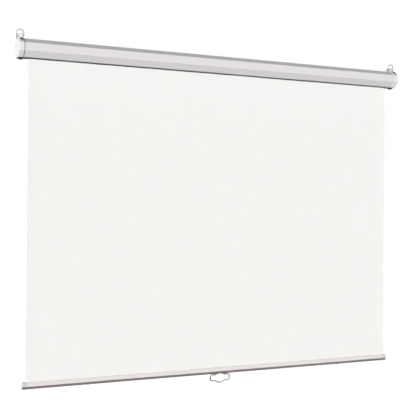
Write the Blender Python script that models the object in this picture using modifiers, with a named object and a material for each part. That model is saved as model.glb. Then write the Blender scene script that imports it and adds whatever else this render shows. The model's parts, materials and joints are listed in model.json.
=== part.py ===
"""Pull-down projector screen, drawn fully down.

Metres. +Z is up, +X runs along the case and -Y is the side that the audience sees. The origin is
the centre of the case's flat back, which lies in the plane y = 0 against the wall.
"""

import math

import bmesh
import bpy
from mathutils import Matrix, Vector

# Fits
GAP = 0.0003  # between pieces that touch
RUNNING_GAP = 0.0008  # between pieces that turn on each other

# Fabric, which the lengths along X follow
FABRIC_WIDTH = 1.710
FABRIC_THICKNESS = 0.00042
FABRIC_DROP = 1.2650  # from the case's underside to the top of the slat

# Case section, in the YZ plane
CASE_DEPTH = 0.074
CASE_HEIGHT = 0.0725
SHELL_WALL = 0.0009
SHELL_BEND = 0.0018  # outside radius of its folds
BACK_CHAMFER = 0.005
TOP_FACET_RISE = 0.0182
TOP_FACET_RUN = 0.023
LOWER_FACET_RISE = 0.0232
LOWER_FACET_RUN = 0.022
SLOT_FRONT_GAP = 0.007  # from the fabric to the slot's front lip
SLOT_BACK_GAP = 0.013
SLOT_LIP = 0.003  # height of the folded lips inside the slot

# Case length and caps
SHELL_PAST_FABRIC = 0.025  # at each end
CAP_LENGTH = 0.022
CAP_PROUD = 0.0008
CAP_SEAM = 0.003  # open groove between the shell's end and the cap
CAP_END_WALL = 0.003
CAP_EDGE_BEVEL = 0.0035
SPIGOT_LENGTH = 0.012
SPIGOT_WALL = 0.002
TONGUE_TO_FABRIC = 0.003  # the caps' tongues close the slot up to here

# Roller
ROLLER_RADIUS = 0.015
ROLLER_WALL = 0.0008
ROLLER_FROM_FRONT = 0.0243  # from the case's front to the axis
ROLLER_AXIS_Z = 0.001
WRAP_THICKNESS = 0.001
TUBE_PAST_FABRIC = 0.0135  # at each end

# Ends of the roller
PLUG_DEPTH = 0.024
FLANGE_PROUD = 0.002  # past the tube
FLANGE_THICKNESS = 0.0025
SPINDLE_RADIUS = 0.004
SPINDLE_LENGTH_IN_TUBE = 0.400
TANG_HEIGHT = 0.0056
TANG_THICKNESS = 0.003
TANG_REACH = 0.003  # past the outside of its bracket
ANCHOR_THICKNESS = 0.008
ANCHOR_HUB_LENGTH = 0.014
IDLE_PIN_RADIUS = 0.004
BUSH_WALL = 0.0025
BUSH_LENGTH = 0.0065
BUSH_FLANGE = 0.002
BUSH_FLANGE_RADIUS = 0.009

# Torsion spring
SPRING_TURNS = 22
SPRING_WIRE_RADIUS = 0.0012
SPRING_COIL_RADIUS = 0.011
SPRING_POINTS_PER_TURN = 10
SPRING_FLAT_SHARE = 0.012  # of its length, in the flat half-turn at each end

# Ratchet
WHEEL_FROM_FLANGE = 0.002
WHEEL_RADIUS = 0.008
WHEEL_THICKNESS = 0.005
PAWL_THICKNESS = 0.004
PAWL_LENGTH = 0.0086
PAWL_ROOT_RADIUS = 0.0026
PAWL_TIP_HALF = 0.0010
PAWL_PIVOT_RADIUS = 0.012  # from the roller's axis
PAWL_PIVOT_ANGLE = math.radians(50)
PAWL_REST_ANGLE = math.radians(173)
PAWL_PIN_RADIUS = 0.0014
PAWL_PIN_HEAD = 0.0022
PAWL_PIN_HEAD_HEIGHT = 0.0012
PAWL_PIN_SEAT = 0.008  # how far its hole runs into the ferrule
NOTCH_FLOOR_WALL = 0.0007  # between the notch's floor and the spindle's hole
NOTCH_WALL = 0.0020  # from the axis to the steep wall
NOTCH_FLOOR_END = 0.0014
NOTCH_SLOPE_END = 0.0056

# Roller brackets
BRACKET_WIDTH = 0.030
BRACKET_HEIGHT = 0.046
BRACKET_THICKNESS = 0.002
BRACKET_CORNER = 0.006
BOSS_RADIUS = 0.0045
BOSS_LENGTH = 0.005
BRACKET_SCREW_SPREAD = 0.016
SCREW_SHANK = 0.0015
SCREW_HEAD_RADIUS = 0.0032
SCREW_HEAD = 0.0018
SCREW_HEAD_TOP_SHARE = 0.72  # of the head's radius, at its top
SCREW_DEPTH = 0.006
DRIVER_SLOT_WIDTH = 0.00105

# Hangers
HANGER_FROM_END = 0.0115  # from the cap's end to the hanger's middle
HANGER_FROM_FACET = 0.0095  # from the top facet's upper edge to the hanger's web
HANGER_LENGTH = 0.0275
HANGER_WIDTH = 0.0215
HANGER_HEIGHT = 0.019
HANGER_PLATE = 0.0015
HANGER_CORNER = 0.007  # of each wing at its back, which the ring's arch swings past
HANGER_FOOT_LENGTH = 0.018  # down the facet
HANGER_FOOT_WIDTH = 0.014
HANGER_SCREW_DOWN = 0.0105  # down the facet
RING_WIRE_RADIUS = 0.0016
RING_SPREAD = 0.0288  # between the middles of its legs
RING_PIVOT_HEIGHT = 0.009
RING_TOP_HEIGHT = 0.038
RING_PIN_REACH = 0.0035  # past the inside of the bracket's wing
RING_BEND = 0.0030
HANGER_SCREW_RADIUS = 0.0038
HANGER_SCREW_HEAD = 0.0020

# Feet under the caps
FOOT_LENGTH = 0.0135
FOOT_DEPTH = 0.020
FOOT_HEIGHT = 0.006
FOOT_FROM_END = 0.0140  # from the cap's end to the foot's middle
FOOT_BEVEL = 0.0015
CAP_SCREW_INSET = 0.006  # from the shell's end
CAP_SCREW_Y = -0.012

# Bar
BAR_PAST_FABRIC = 0.014  # at each end
SLAT_HEIGHT = 0.0165
SLAT_DEPTH = 0.017
SLAT_TOP_BEVEL = 0.0035
SLAT_SLOT = 0.0030
SLAT_CAP_LENGTH = 0.020
SLAT_CAP_WALL = 0.0030
SLAT_CAP_BEVEL = 0.0012
SLAT_SPIGOT_GAP = 0.0004
SLAT_SPIGOT_LENGTH = 0.012
SLIT_PAST_FABRIC = 0.0015
HEM_ROD_RADIUS = 0.0042
HEM_ROOM = 0.0010  # between the rod and its channel, for the fabric wrapped around it
RAIL_HEIGHT = 0.0099
RAIL_DEPTH = 0.0130
RAIL_BEVEL = 0.0025
RAIL_SCREW_FROM_END = 0.269
SCREW_INTO_SLAT = 0.0020

# Pull handle
HANDLE_X = -0.007  # the photo shows it a little left of the middle
HANDLE_WIDTH = 0.0955
HANDLE_WIRE_RADIUS = 0.0022
HANDLE_DROP = 0.0317  # from the bar's underside to the wire's underside at the sides
HANDLE_BULGE = 0.0105  # further down in the middle
HANDLE_BULGE_HALF = 0.024
HANDLE_TOP_BEND = 0.009
HANDLE_SIDE_BEND = 0.009
HANDLE_BULGE_BEND = 0.012
HANDLE_END_X = 0.019
HANDLE_TO_PLATE = 0.0004  # between the wire and its clips' plates
CLIP_X = 0.026
CLIP_LENGTH = 0.012
CLIP_WALL = 0.0010
CLIP_PLATE = 0.0010
CLIP_PLATE_DEPTH = 0.011
CLIP_TAB = 0.011
CLIP_SCREW_X = 0.0145

# How far each piece moves
BAR_CLOSED_GAP = 0.003
ROLLER_TURNS = 11

# Steps along each curve
FOLD_STEPS = 2
WIRE_BEND_STEPS = 4
HANDLE_BEND_STEPS = 6
RING_ARCH_STEPS = 12
WHEEL_RIM_STEPS = 10
PAWL_EYE_STEPS = 8
CHANNEL_STEPS = 20
BARREL_STEPS = 16
CORNER_STEPS = 3

# Derived places
HALF_HEIGHT = CASE_HEIGHT / 2
HALF_FABRIC = FABRIC_WIDTH / 2
HALF_SHELL = HALF_FABRIC + SHELL_PAST_FABRIC
CAP_END_X = HALF_SHELL + CAP_LENGTH
ROLLER_AXIS_Y = -CASE_DEPTH + ROLLER_FROM_FRONT
WRAP_INNER = ROLLER_RADIUS + GAP
WRAP_OUTER = WRAP_INNER + WRAP_THICKNESS
FABRIC_Y = ROLLER_AXIS_Y + WRAP_OUTER + GAP + FABRIC_THICKNESS / 2
TUBE_INNER = ROLLER_RADIUS - ROLLER_WALL
PLUG_RADIUS = TUBE_INNER - GAP
FLANGE_RADIUS = ROLLER_RADIUS + FLANGE_PROUD
HALF_TUBE = HALF_FABRIC + TUBE_PAST_FABRIC
FLANGE_INNER_X = HALF_TUBE + GAP
FLANGE_OUTER_X = FLANGE_INNER_X + FLANGE_THICKNESS
BOSS_FACE_X = CAP_END_X - CAP_END_WALL - BOSS_LENGTH
BRACKET_OUTER_X = BOSS_FACE_X - GAP
BRACKET_INNER_X = BRACKET_OUTER_X - BRACKET_THICKNESS
SPINDLE_END_X = HALF_TUBE - SPINDLE_LENGTH_IN_TUBE
SPRING_START_X = HALF_TUBE - PLUG_DEPTH - GAP - SPRING_WIRE_RADIUS
# The coils are modelled with straight steps, whose middles lie nearer to the axis.
SPRING_SEAT_RADIUS = (
    SPRING_COIL_RADIUS * math.cos(math.pi / SPRING_POINTS_PER_TURN) - SPRING_WIRE_RADIUS - GAP
)
SLAT_TOP_Z = -HALF_HEIGHT - FABRIC_DROP
SLAT_BOTTOM_Z = SLAT_TOP_Z - SLAT_HEIGHT
RAIL_TOP_Z = SLAT_BOTTOM_Z - GAP
BAR_BOTTOM_Z = RAIL_TOP_Z - RAIL_HEIGHT
SLAT_MIDDLE_Z = (SLAT_TOP_Z + SLAT_BOTTOM_Z) / 2
HALF_BAR = HALF_FABRIC + BAR_PAST_FABRIC
HALF_SLAT = HALF_BAR - SLAT_CAP_LENGTH
SLAT_CHANNEL_RADIUS = HEM_ROD_RADIUS + HEM_ROOM
RAIL_SCREW_X = HALF_BAR - RAIL_SCREW_FROM_END
HANGER_X = CAP_END_X - HANGER_FROM_END
HANGER_FRONT_Y = -CASE_DEPTH + TOP_FACET_RUN + HANGER_FROM_FACET
HANGER_BACK_Y = HANGER_FRONT_Y + HANGER_LENGTH
FOOT_X = CAP_END_X - FOOT_FROM_END
RING_PIVOT_Z = HALF_HEIGHT + CAP_PROUD + GAP + RING_PIVOT_HEIGHT
RING_LEG_X = RING_SPREAD / 2
RING_Y = FABRIC_Y
HANDLE_AXIS_Z = BAR_BOTTOM_Z - GAP - CLIP_PLATE - HANDLE_TO_PLATE - HANDLE_WIRE_RADIUS
NOTCH_FLOOR = SPINDLE_RADIUS + GAP + NOTCH_FLOOR_WALL
BAR_TRAVEL = FABRIC_DROP - BAR_CLOSED_GAP
ROLLER_RADIANS_PER_METRE = ROLLER_TURNS * 2 * math.pi / BAR_TRAVEL

CYLINDER_SIDES = 32
SMALL_SIDES = 16
CUT = 0.004  # how far a cutter runs past what it cuts
WELD = 0.000005
SHARP_ANGLE = math.radians(35)

SCREEN = bpy.data.collections.new("projector_screen")
CUTTERS = bpy.data.collections.new("cutters")


def clear_scene():
    """Removes every object of the scene and links the two collections."""
    for obj in list(bpy.data.objects):
        bpy.data.objects.remove(obj, do_unlink=True)
    bpy.context.scene.collection.children.link(SCREEN)
    bpy.context.scene.collection.children.link(CUTTERS)


def make_material(name, colour, roughness, metallic=0.0):
    """A plain finish."""
    material = bpy.data.materials.new(name)
    material.use_nodes = True
    shader = material.node_tree.nodes["Principled BSDF"]
    shader.inputs["Base Color"].default_value = (*colour, 1.0)
    shader.inputs["Roughness"].default_value = roughness
    shader.inputs["Metallic"].default_value = metallic
    return material


def add_object(name, data, material, collection=None):
    """Links a new object with its finish."""
    obj = bpy.data.objects.new(name, data)
    (collection or SCREEN).objects.link(obj)
    if material is not None:
        data.materials.clear()
        data.materials.append(material)
    return obj


def mesh_from_bmesh(name, shape, material, collection=None):
    """Turns a bmesh into an object, shaded smooth over its shallow edges."""
    bmesh.ops.recalc_face_normals(shape, faces=shape.faces)
    mesh = bpy.data.meshes.new(name)
    shape.to_mesh(mesh)
    shape.free()
    mesh.shade_smooth()
    mesh.set_sharp_from_angle(angle=SHARP_ANGLE)
    return add_object(name, mesh, material, collection)


# Two-dimensional outlines are (y, z) points, and are extruded along X.
ALONG_X = Matrix(((0, 0, 1), (1, 0, 0), (0, 1, 0))).to_4x4()
# These are (x, y) points, and are extruded along Z.
ALONG_Z = Matrix.Identity(4)


def case_outline(inset=0.0):
    """The case's closed section, with every side moved inwards by inset, or outwards but for the back."""
    top, bottom, front = HALF_HEIGHT, -HALF_HEIGHT, -CASE_DEPTH
    corners = [
        (0.0, bottom + BACK_CHAMFER),
        (0.0, top - BACK_CHAMFER),
        (-BACK_CHAMFER, top),
        (front + TOP_FACET_RUN, top),
        (front, top - TOP_FACET_RISE),
        (front, bottom + LOWER_FACET_RISE),
        (front + LOWER_FACET_RUN, bottom),
        (-BACK_CHAMFER, bottom),
    ]
    moved = inset_outline(corners, inset)
    if inset >= 0:
        return moved
    return [(min(y, 0.0), z) for y, z in moved]


def inset_outline(corners, inset):
    """Moves each side of a convex outline inwards by inset, keeping the sides parallel."""
    centre = sum((Vector(c) for c in corners), Vector((0, 0))) / len(corners)
    lines = []
    for start, end in zip(corners, corners[1:] + corners[:1]):
        start, end = Vector(start), Vector(end)
        normal = (end - start).orthogonal().normalized()
        if normal.dot(centre - start) < 0:
            normal = -normal
        lines.append((start + normal * inset, end + normal * inset))
    result = []
    for (a, b), (c, d) in zip(lines[-1:] + lines[:-1], lines):
        along, other = b - a, d - c
        share = (c - a).cross(other) / along.cross(other)
        point = a + along * share
        result.append((point.x, point.y))
    return result


def curve_prism(name, outline, low, high, material, holes=(), axes=ALONG_X):
    """A flat outline, with any holes, extruded from low to high along the axis that axes gives."""
    curve = bpy.data.curves.new(name, "CURVE")
    curve.dimensions = "2D"
    curve.fill_mode = "BOTH"
    curve.extrude = (high - low) / 2
    for points in (outline, *holes):
        spline = curve.splines.new("POLY")
        spline.points.add(len(points) - 1)
        for target, (a, b) in zip(spline.points, points):
            target.co = (a, b, 0.0, 1.0)
        spline.use_cyclic_u = True
    obj = add_object(name, curve, material)
    obj.matrix_world = axes @ Matrix.Translation((0, 0, (high + low) / 2))
    return obj


def as_mesh(obj):
    """Replaces a curve or modified object with its evaluated, welded mesh."""
    bpy.context.view_layer.update()
    graph = bpy.context.evaluated_depsgraph_get()
    mesh = bpy.data.meshes.new_from_object(obj.evaluated_get(graph), depsgraph=graph)
    shape = bmesh.new()
    shape.from_mesh(mesh)
    bmesh.ops.remove_doubles(shape, verts=shape.verts, dist=WELD)
    bmesh.ops.recalc_face_normals(shape, faces=shape.faces)
    shape.to_mesh(mesh)
    shape.free()
    name, material = obj.name, obj.active_material
    collection, place = obj.users_collection[0], obj.matrix_world.copy()
    bpy.data.objects.remove(obj, do_unlink=True)
    made = add_object(name, mesh, material, collection)
    made.matrix_world = place
    return made


def shade(obj):
    """Shades a mesh smooth over its shallow edges."""
    obj.data.shade_smooth()
    obj.data.set_sharp_from_angle(angle=SHARP_ANGLE)
    return obj


def cylinder(name, radius, start, end, material, sides=CYLINDER_SIDES, end_radius=None, collection=None):
    """A cylinder or cone between two points."""
    start, end = Vector(start), Vector(end)
    along = end - start
    shape = bmesh.new()
    bmesh.ops.create_cone(
        shape,
        cap_ends=True,
        segments=sides,
        radius1=radius,
        radius2=radius if end_radius is None else end_radius,
        depth=along.length,
    )
    turn = Vector((0, 0, 1)).rotation_difference(along).to_matrix().to_4x4()
    place = Matrix.Translation((start + end) / 2) @ turn
    bmesh.ops.transform(shape, matrix=place, verts=shape.verts)
    return mesh_from_bmesh(name, shape, material, collection)


def box(name, low, high, material, bevel=0.0, collection=None):
    """A box between two corners, with its edges rounded where bevel is given."""
    low, high = Vector(low), Vector(high)
    shape = bmesh.new()
    bmesh.ops.create_cube(shape, size=1.0)
    bmesh.ops.scale(shape, vec=high - low, verts=shape.verts)
    bmesh.ops.translate(shape, vec=(low + high) / 2, verts=shape.verts)
    if bevel:
        bmesh.ops.bevel(
            shape,
            geom=shape.edges[:],
            offset=bevel,
            segments=2,
            profile=0.5,
            affect="EDGES",
            material=-1,
        )
    return mesh_from_bmesh(name, shape, material, collection)


def combine(obj, other, operation):
    """Joins other to obj, or cuts it away, and removes other."""
    other.hide_render = True
    other.display_type = "WIRE"
    modifier = obj.modifiers.new(operation.lower(), "BOOLEAN")
    modifier.operation = operation
    modifier.object = other
    modifier.solver = "EXACT"
    made = as_mesh(obj)
    bpy.data.objects.remove(other, do_unlink=True)
    return shade(made)


def cut(obj, cutter):
    """Cuts one shape out of another."""
    return combine(obj, cutter, "DIFFERENCE")


def join(obj, other):
    """Makes two overlapping shapes one body."""
    return combine(obj, other, "UNION")


def turned(name, profile, material, sides=CYLINDER_SIDES):
    """A shape turned about the roller's axis. The profile holds (x, radius) points around the section."""
    mesh = bpy.data.meshes.new(name)
    shape = bmesh.new()
    ring = [shape.verts.new((radius, 0.0, along)) for along, radius in profile]
    for first, second in zip(ring, ring[1:] + ring[:1]):
        shape.edges.new((first, second))
    shape.to_mesh(mesh)
    shape.free()
    obj = add_object(name, mesh, material)
    # The profile's X is its radius and its Z lies along the world's X.
    obj.matrix_world = Matrix.Translation((0, ROLLER_AXIS_Y, ROLLER_AXIS_Z)) @ ALONG_X
    screw = obj.modifiers.new("turn", "SCREW")
    screw.axis = "Z"
    screw.angle = 2 * math.pi
    screw.steps = sides
    screw.render_steps = sides
    screw.use_merge_vertices = True
    screw.merge_threshold = WELD
    return shade(as_mesh(obj))


def tube_section(low, high, inner, outer):
    """The section of a plain ring, for turned()."""
    return [(high, outer), (low, outer), (low, inner), (high, inner)]


def arc(centre, radius, start, end, steps):
    """Points on an arc, both ends included."""
    angles = [start + (end - start) * i / steps for i in range(steps + 1)]
    return [(centre[0] + radius * math.cos(a), centre[1] + radius * math.sin(a)) for a in angles]


def circle(centre, radius, sides):
    """The corners of a round hole."""
    return arc(centre, radius, 0, 2 * math.pi, sides)[:-1]


def rounded_path(corners, radii, steps):
    """A polyline through corners, each inner corner rounded to its radius."""
    points = [Vector(corners[0])]
    for before, corner, after, radius in zip(corners, corners[1:], corners[2:], radii):
        before, corner, after = Vector(before), Vector(corner), Vector(after)
        back, forth = (before - corner).normalized(), (after - corner).normalized()
        half = back.angle(forth) / 2
        reach = radius / math.tan(half)
        centre = corner + (back + forth).normalized() * radius / math.sin(half)
        start, end = corner + back * reach - centre, corner + forth * reach - centre
        for i in range(steps + 1):
            points.append(centre + start.slerp(end, i / steps).normalized() * radius)
    points.append(Vector(corners[-1]))
    return points


def wire(name, points, radius, material, resolution=2):
    """A round wire along a polyline."""
    curve = bpy.data.curves.new(name, "CURVE")
    curve.dimensions = "3D"
    curve.bevel_depth = radius
    curve.bevel_resolution = resolution
    curve.use_fill_caps = True
    spline = curve.splines.new("POLY")
    spline.points.add(len(points) - 1)
    for target, point in zip(spline.points, points):
        target.co = (*point, 1.0)
    return add_object(name, curve, material)


def mirrored(obj, name):
    """A copy on the other side of the plane x = 0."""
    mesh = obj.data.copy()
    place = Matrix.Diagonal((-1, 1, 1, 1)) @ obj.matrix_world
    shape = bmesh.new()
    shape.from_mesh(mesh)
    bmesh.ops.transform(shape, matrix=place, verts=shape.verts)
    bmesh.ops.reverse_faces(shape, faces=shape.faces)
    shape.to_mesh(mesh)
    shape.free()
    return add_object(name, mesh, obj.active_material)


def put_on_axis(obj, place, name):
    """Hangs an object from an empty that stands on its joint's axis."""
    empty = bpy.data.objects.get(name)
    if empty is None:
        empty = bpy.data.objects.new(name, None)
        empty.location = place
        SCREEN.objects.link(empty)
        bpy.context.view_layer.update()
    world = obj.matrix_world.copy()
    obj.parent = empty
    obj.matrix_parent_inverse = empty.matrix_world.inverted()
    obj.matrix_world = world


def make_case_shell(material):
    """The folded sheet: an open section with two lips along the slot, thickened inwards."""
    outline = case_outline()
    bottom = -HALF_HEIGHT
    front_lip, back_lip = slot_lips()
    path = [(back_lip, bottom + SLOT_LIP), (back_lip, bottom)]
    path += [outline[7], *outline[:7]]
    path += [(front_lip, bottom), (front_lip, bottom + SLOT_LIP)]
    folded = rounded_path(path, [SHELL_BEND] * (len(path) - 2), FOLD_STEPS)
    shape = bmesh.new()
    row = [shape.verts.new((-HALF_SHELL, y, z)) for y, z in folded]
    edges = [shape.edges.new(pair) for pair in zip(row, row[1:])]
    swept = bmesh.ops.extrude_edge_only(shape, edges=edges)
    moved = [part for part in swept["geom"] if isinstance(part, bmesh.types.BMVert)]
    bmesh.ops.translate(shape, vec=(2 * HALF_SHELL, 0, 0), verts=moved)
    mesh = bpy.data.meshes.new("case_shell")
    shape.to_mesh(mesh)
    shape.free()
    shell = add_object("case_shell", mesh, material)
    solidify = shell.modifiers.new("sheet", "SOLIDIFY")
    solidify.thickness = SHELL_WALL
    solidify.offset = shell_side(path)
    solidify.use_even_offset = True
    shell = as_mesh(shell)
    for side in (-1, 1):
        x = side * (HALF_SHELL - CAP_SCREW_INSET)
        hole = cylinder(
            "screw_hole",
            SCREW_SHANK + GAP,
            (x, CAP_SCREW_Y, bottom - CUT),
            (x, CAP_SCREW_Y, bottom + CUT),
            None,
            SMALL_SIDES,
            collection=CUTTERS,
        )
        shell = cut(shell, hole)
    return shell


def slot_lips():
    """The y of the slot's front and back lip."""
    return FABRIC_Y - SLOT_FRONT_GAP, FABRIC_Y + SLOT_BACK_GAP


def shell_side(path):
    """Which way Solidify must grow for the sheet to lie inside the outline."""
    area = sum(a[0] * b[1] - b[0] * a[1] for a, b in zip(path, path[1:] + path[:1]))
    return 1.0 if area > 0 else -1.0


def make_end_cap(material):
    """The right-hand cap: a moulded cup whose spigot slides into the shell."""
    outer = case_outline(-CAP_PROUD)
    cap = as_mesh(curve_prism("end_cap_right", outer, HALF_SHELL + CAP_SEAM, CAP_END_X, material))
    cap = round_edges(cap, outer_edge, CAP_EDGE_BEVEL)
    spigot_start, inner_end = HALF_SHELL - SPIGOT_LENGTH, CAP_END_X - CAP_END_WALL
    spigot_inset = SHELL_WALL + GAP
    floor = spigot_inset + SPIGOT_WALL
    spigot = curve_prism("spigot", case_outline(spigot_inset), spigot_start, inner_end, None)
    cap = join(cap, as_mesh(spigot))
    hollow = curve_prism("hollow", case_outline(floor), spigot_start - CUT, inner_end, None)
    cap = cut(cap, as_mesh(hollow))
    cap = cut_lip_grooves(cap)
    front_lip, back_lip = slot_lips()
    tongue = box(
        "tongue",
        (HALF_FABRIC + TONGUE_TO_FABRIC, front_lip + GAP, -HALF_HEIGHT),
        (HALF_SHELL + CAP_SEAM + GAP, back_lip - GAP, -HALF_HEIGHT + floor),
        None,
    )
    cap = join(cap, tongue)
    for side in (-1, 1):
        z = ROLLER_AXIS_Z + side * BRACKET_SCREW_SPREAD
        boss = cylinder(
            "boss",
            BOSS_RADIUS,
            (BOSS_FACE_X, ROLLER_AXIS_Y, z),
            (CAP_END_X - CAP_END_WALL / 2, ROLLER_AXIS_Y, z),
            None,
            SMALL_SIDES,
        )
        cap = join(cap, boss)
        hole = cylinder(
            "boss_hole",
            SCREW_SHANK + GAP,
            (BOSS_FACE_X - CUT, ROLLER_AXIS_Y, z),
            (BRACKET_INNER_X + SCREW_DEPTH + GAP, ROLLER_AXIS_Y, z),
            None,
            SMALL_SIDES,
        )
        cap = cut(cap, hole)
    facet, outwards = hanger_screw_place()
    pilot = cylinder(
        "pilot",
        SCREW_SHANK + GAP,
        facet + outwards * CUT,
        facet - outwards * (SCREW_DEPTH + GAP),
        None,
        SMALL_SIDES,
    )
    cap = cut(cap, pilot)
    x = HALF_SHELL - CAP_SCREW_INSET
    hole = cylinder(
        "cap_screw_hole",
        SCREW_SHANK + GAP,
        (x, CAP_SCREW_Y, -HALF_HEIGHT - CUT),
        (x, CAP_SCREW_Y, -HALF_HEIGHT + SCREW_DEPTH + GAP),
        None,
        SMALL_SIDES,
    )
    return cut(cap, hole)


def cut_lip_grooves(cap):
    """Cuts the two grooves in the spigot's floor that the slot's lips slide into."""
    front_lip, back_lip = slot_lips()
    for low, high in ((front_lip - SHELL_BEND, front_lip), (back_lip, back_lip + SHELL_BEND)):
        groove = box(
            "lip_groove",
            (HALF_SHELL - SPIGOT_LENGTH - CUT, low - GAP, -HALF_HEIGHT - CUT),
            (HALF_SHELL + GAP, high + GAP, -HALF_HEIGHT + SLOT_LIP + CUT),
            None,
        )
        cap = cut(cap, groove)
    return cap


def outer_edge(edge):
    """Whether an edge of the cap's outside is to be rounded: all but those at the shell and at the wall."""
    ends = [v.co for v in edge.verts]
    at_shell = all(abs(co.x - HALF_SHELL - CAP_SEAM) < GAP for co in ends)
    at_wall = all(co.y > -GAP for co in ends)
    return not at_shell and not at_wall


def outer_rim(edge):
    """Whether an edge belongs to the outer face of the bar's cap."""
    return all(abs(v.co.x - HALF_BAR) < GAP for v in edge.verts)


def round_edges(obj, chosen, size, steps=2):
    """Rounds the sharp edges that chosen() picks, and puts the mesh in world coordinates."""
    shape = bmesh.new()
    shape.from_mesh(obj.data)
    bmesh.ops.transform(shape, matrix=obj.matrix_world, verts=shape.verts)
    edges = [edge for edge in shape.edges if edge.calc_face_angle(0.0) > SHARP_ANGLE and chosen(edge)]
    bmesh.ops.bevel(
        shape, geom=edges, offset=size, segments=steps, profile=0.5, affect="EDGES", material=-1
    )
    shape.to_mesh(obj.data)
    shape.free()
    obj.matrix_world = Matrix.Identity(4)
    return obj


def facet_frame(lift):
    """The top facet's upper edge, lifted off the case, with its direction downhill and its outward normal."""
    outline = case_outline(-lift)
    upper, lower = Vector((0, *outline[3])), Vector((0, *outline[4]))
    down = (lower - upper).normalized()
    outwards = Vector((0, down.z, -down.y))
    return upper, down, outwards if outwards.z > 0 else -outwards


def hanger_screw_place():
    """Where the right-hand hanger screw meets the cap's facet, and the facet's outward normal."""
    upper, down, outwards = facet_frame(CAP_PROUD)
    middle = upper + down * HANGER_SCREW_DOWN
    middle.x = HANGER_X
    return middle, outwards


def wing_corner(edge):
    """Whether an edge is the upper back corner of one of the hanger bracket's wings."""
    ends = [v.co for v in edge.verts]
    return all(co.y > HANGER_BACK_Y - GAP and co.z > RING_PIVOT_Z for co in ends) and is_along_x(edge)


def is_along_x(edge):
    """Whether an edge runs along the case."""
    along = edge.verts[1].co - edge.verts[0].co
    return abs(along.x) > along.length - GAP


def make_hanger_bracket(material):
    """The right-hand bracket: a channel that stands on the cap, with a foot on the top facet."""
    half = HANGER_WIDTH / 2
    inner = half - HANGER_PLATE
    back, front = HANGER_BACK_Y, HANGER_FRONT_Y
    channel = [
        (-half, back),
        (-half, front),
        (half, front),
        (half, back),
        (inner, back),
        (inner, front + HANGER_PLATE),
        (-inner, front + HANGER_PLATE),
        (-inner, back),
    ]
    foot_z = HALF_HEIGHT + CAP_PROUD + GAP
    outline = [(HANGER_X + x, y) for x, y in channel]
    bracket = as_mesh(
        curve_prism(
            "hanger_bracket_right", outline, foot_z, foot_z + HANGER_HEIGHT, material, axes=ALONG_Z
        )
    )
    bracket = round_edges(bracket, wing_corner, HANGER_CORNER, CORNER_STEPS)
    inside_web = front + HANGER_PLATE / 2
    under, down, _ = facet_frame(CAP_PROUD + GAP)
    over, _, _ = facet_frame(CAP_PROUD + GAP + HANGER_PLATE)
    far_under, far_over = under + down * HANGER_FOOT_LENGTH, over + down * HANGER_FOOT_LENGTH
    plate = [(inside_web, under.z), (under.y, under.z), (far_under.y, far_under.z)]
    plate += [(far_over.y, far_over.z), (over.y, over.z), (inside_web, over.z)]
    half_foot = HANGER_FOOT_WIDTH / 2
    foot = as_mesh(curve_prism("foot_plate", plate, HANGER_X - half_foot, HANGER_X + half_foot, None))
    bracket = join(bracket, foot)
    pivot = cylinder(
        "pivot_hole",
        RING_WIRE_RADIUS + GAP,
        (HANGER_X - half - CUT, RING_Y, RING_PIVOT_Z),
        (HANGER_X + half + CUT, RING_Y, RING_PIVOT_Z),
        None,
        SMALL_SIDES,
    )
    bracket = cut(bracket, pivot)
    middle, outwards = hanger_screw_place()
    hole = cylinder(
        "foot_hole",
        SCREW_SHANK + GAP,
        middle - outwards * CUT,
        middle + outwards * CUT,
        None,
        SMALL_SIDES,
    )
    return cut(bracket, hole)


def screw(name, seat, inwards, material, depth=SCREW_DEPTH, head=SCREW_HEAD_RADIUS, height=SCREW_HEAD):
    """A pan-head screw whose head rests on seat and whose shank runs inwards."""
    seat, inwards = Vector(seat), Vector(inwards).normalized()
    under = seat - inwards * GAP
    top = under - inwards * height
    top_radius = head * SCREW_HEAD_TOP_SHARE
    body = cylinder(name, head, under, top, material, SMALL_SIDES, end_radius=top_radius)
    shank = cylinder("shank", SCREW_SHANK, (under + top) / 2, seat + inwards * depth, None, SMALL_SIDES)
    body = join(body, shank)
    along = inwards.orthogonal().normalized()
    across = inwards.cross(along)
    slot = bmesh.new()
    bmesh.ops.create_cube(slot, size=1.0)
    sides = (along * (2 * head + CUT), across * DRIVER_SLOT_WIDTH, inwards * height)
    frame = Matrix.Translation(top) @ Matrix(sides).transposed().to_4x4()
    bmesh.ops.transform(slot, matrix=frame, verts=slot.verts)
    return cut(body, mesh_from_bmesh("driver_slot", slot, None))


def make_hanger_ring(material):
    """The right-hand bail: a wire whose bent ends turn in the bracket's wings."""
    leg, pin = RING_LEG_X, HANGER_WIDTH / 2 - HANGER_PLATE - RING_PIN_REACH
    arch_z = HALF_HEIGHT + CAP_PROUD + GAP + RING_TOP_HEIGHT - RING_WIRE_RADIUS - leg
    corners = [(pin, 0, RING_PIVOT_Z), (leg, 0, RING_PIVOT_Z), (leg, 0, arch_z)]
    lower = rounded_path(corners, [RING_BEND], WIRE_BEND_STEPS)
    right = [(p.x, p.z) for p in lower[:-1]]
    arch = arc((0.0, arch_z), leg, 0.0, math.pi, RING_ARCH_STEPS)
    left = [(-x, z) for x, z in reversed(right)]
    points = [(HANGER_X + x, RING_Y, z) for x, z in right + arch + left]
    return as_mesh(wire("hanger_ring_right", points, RING_WIRE_RADIUS, material))


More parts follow.
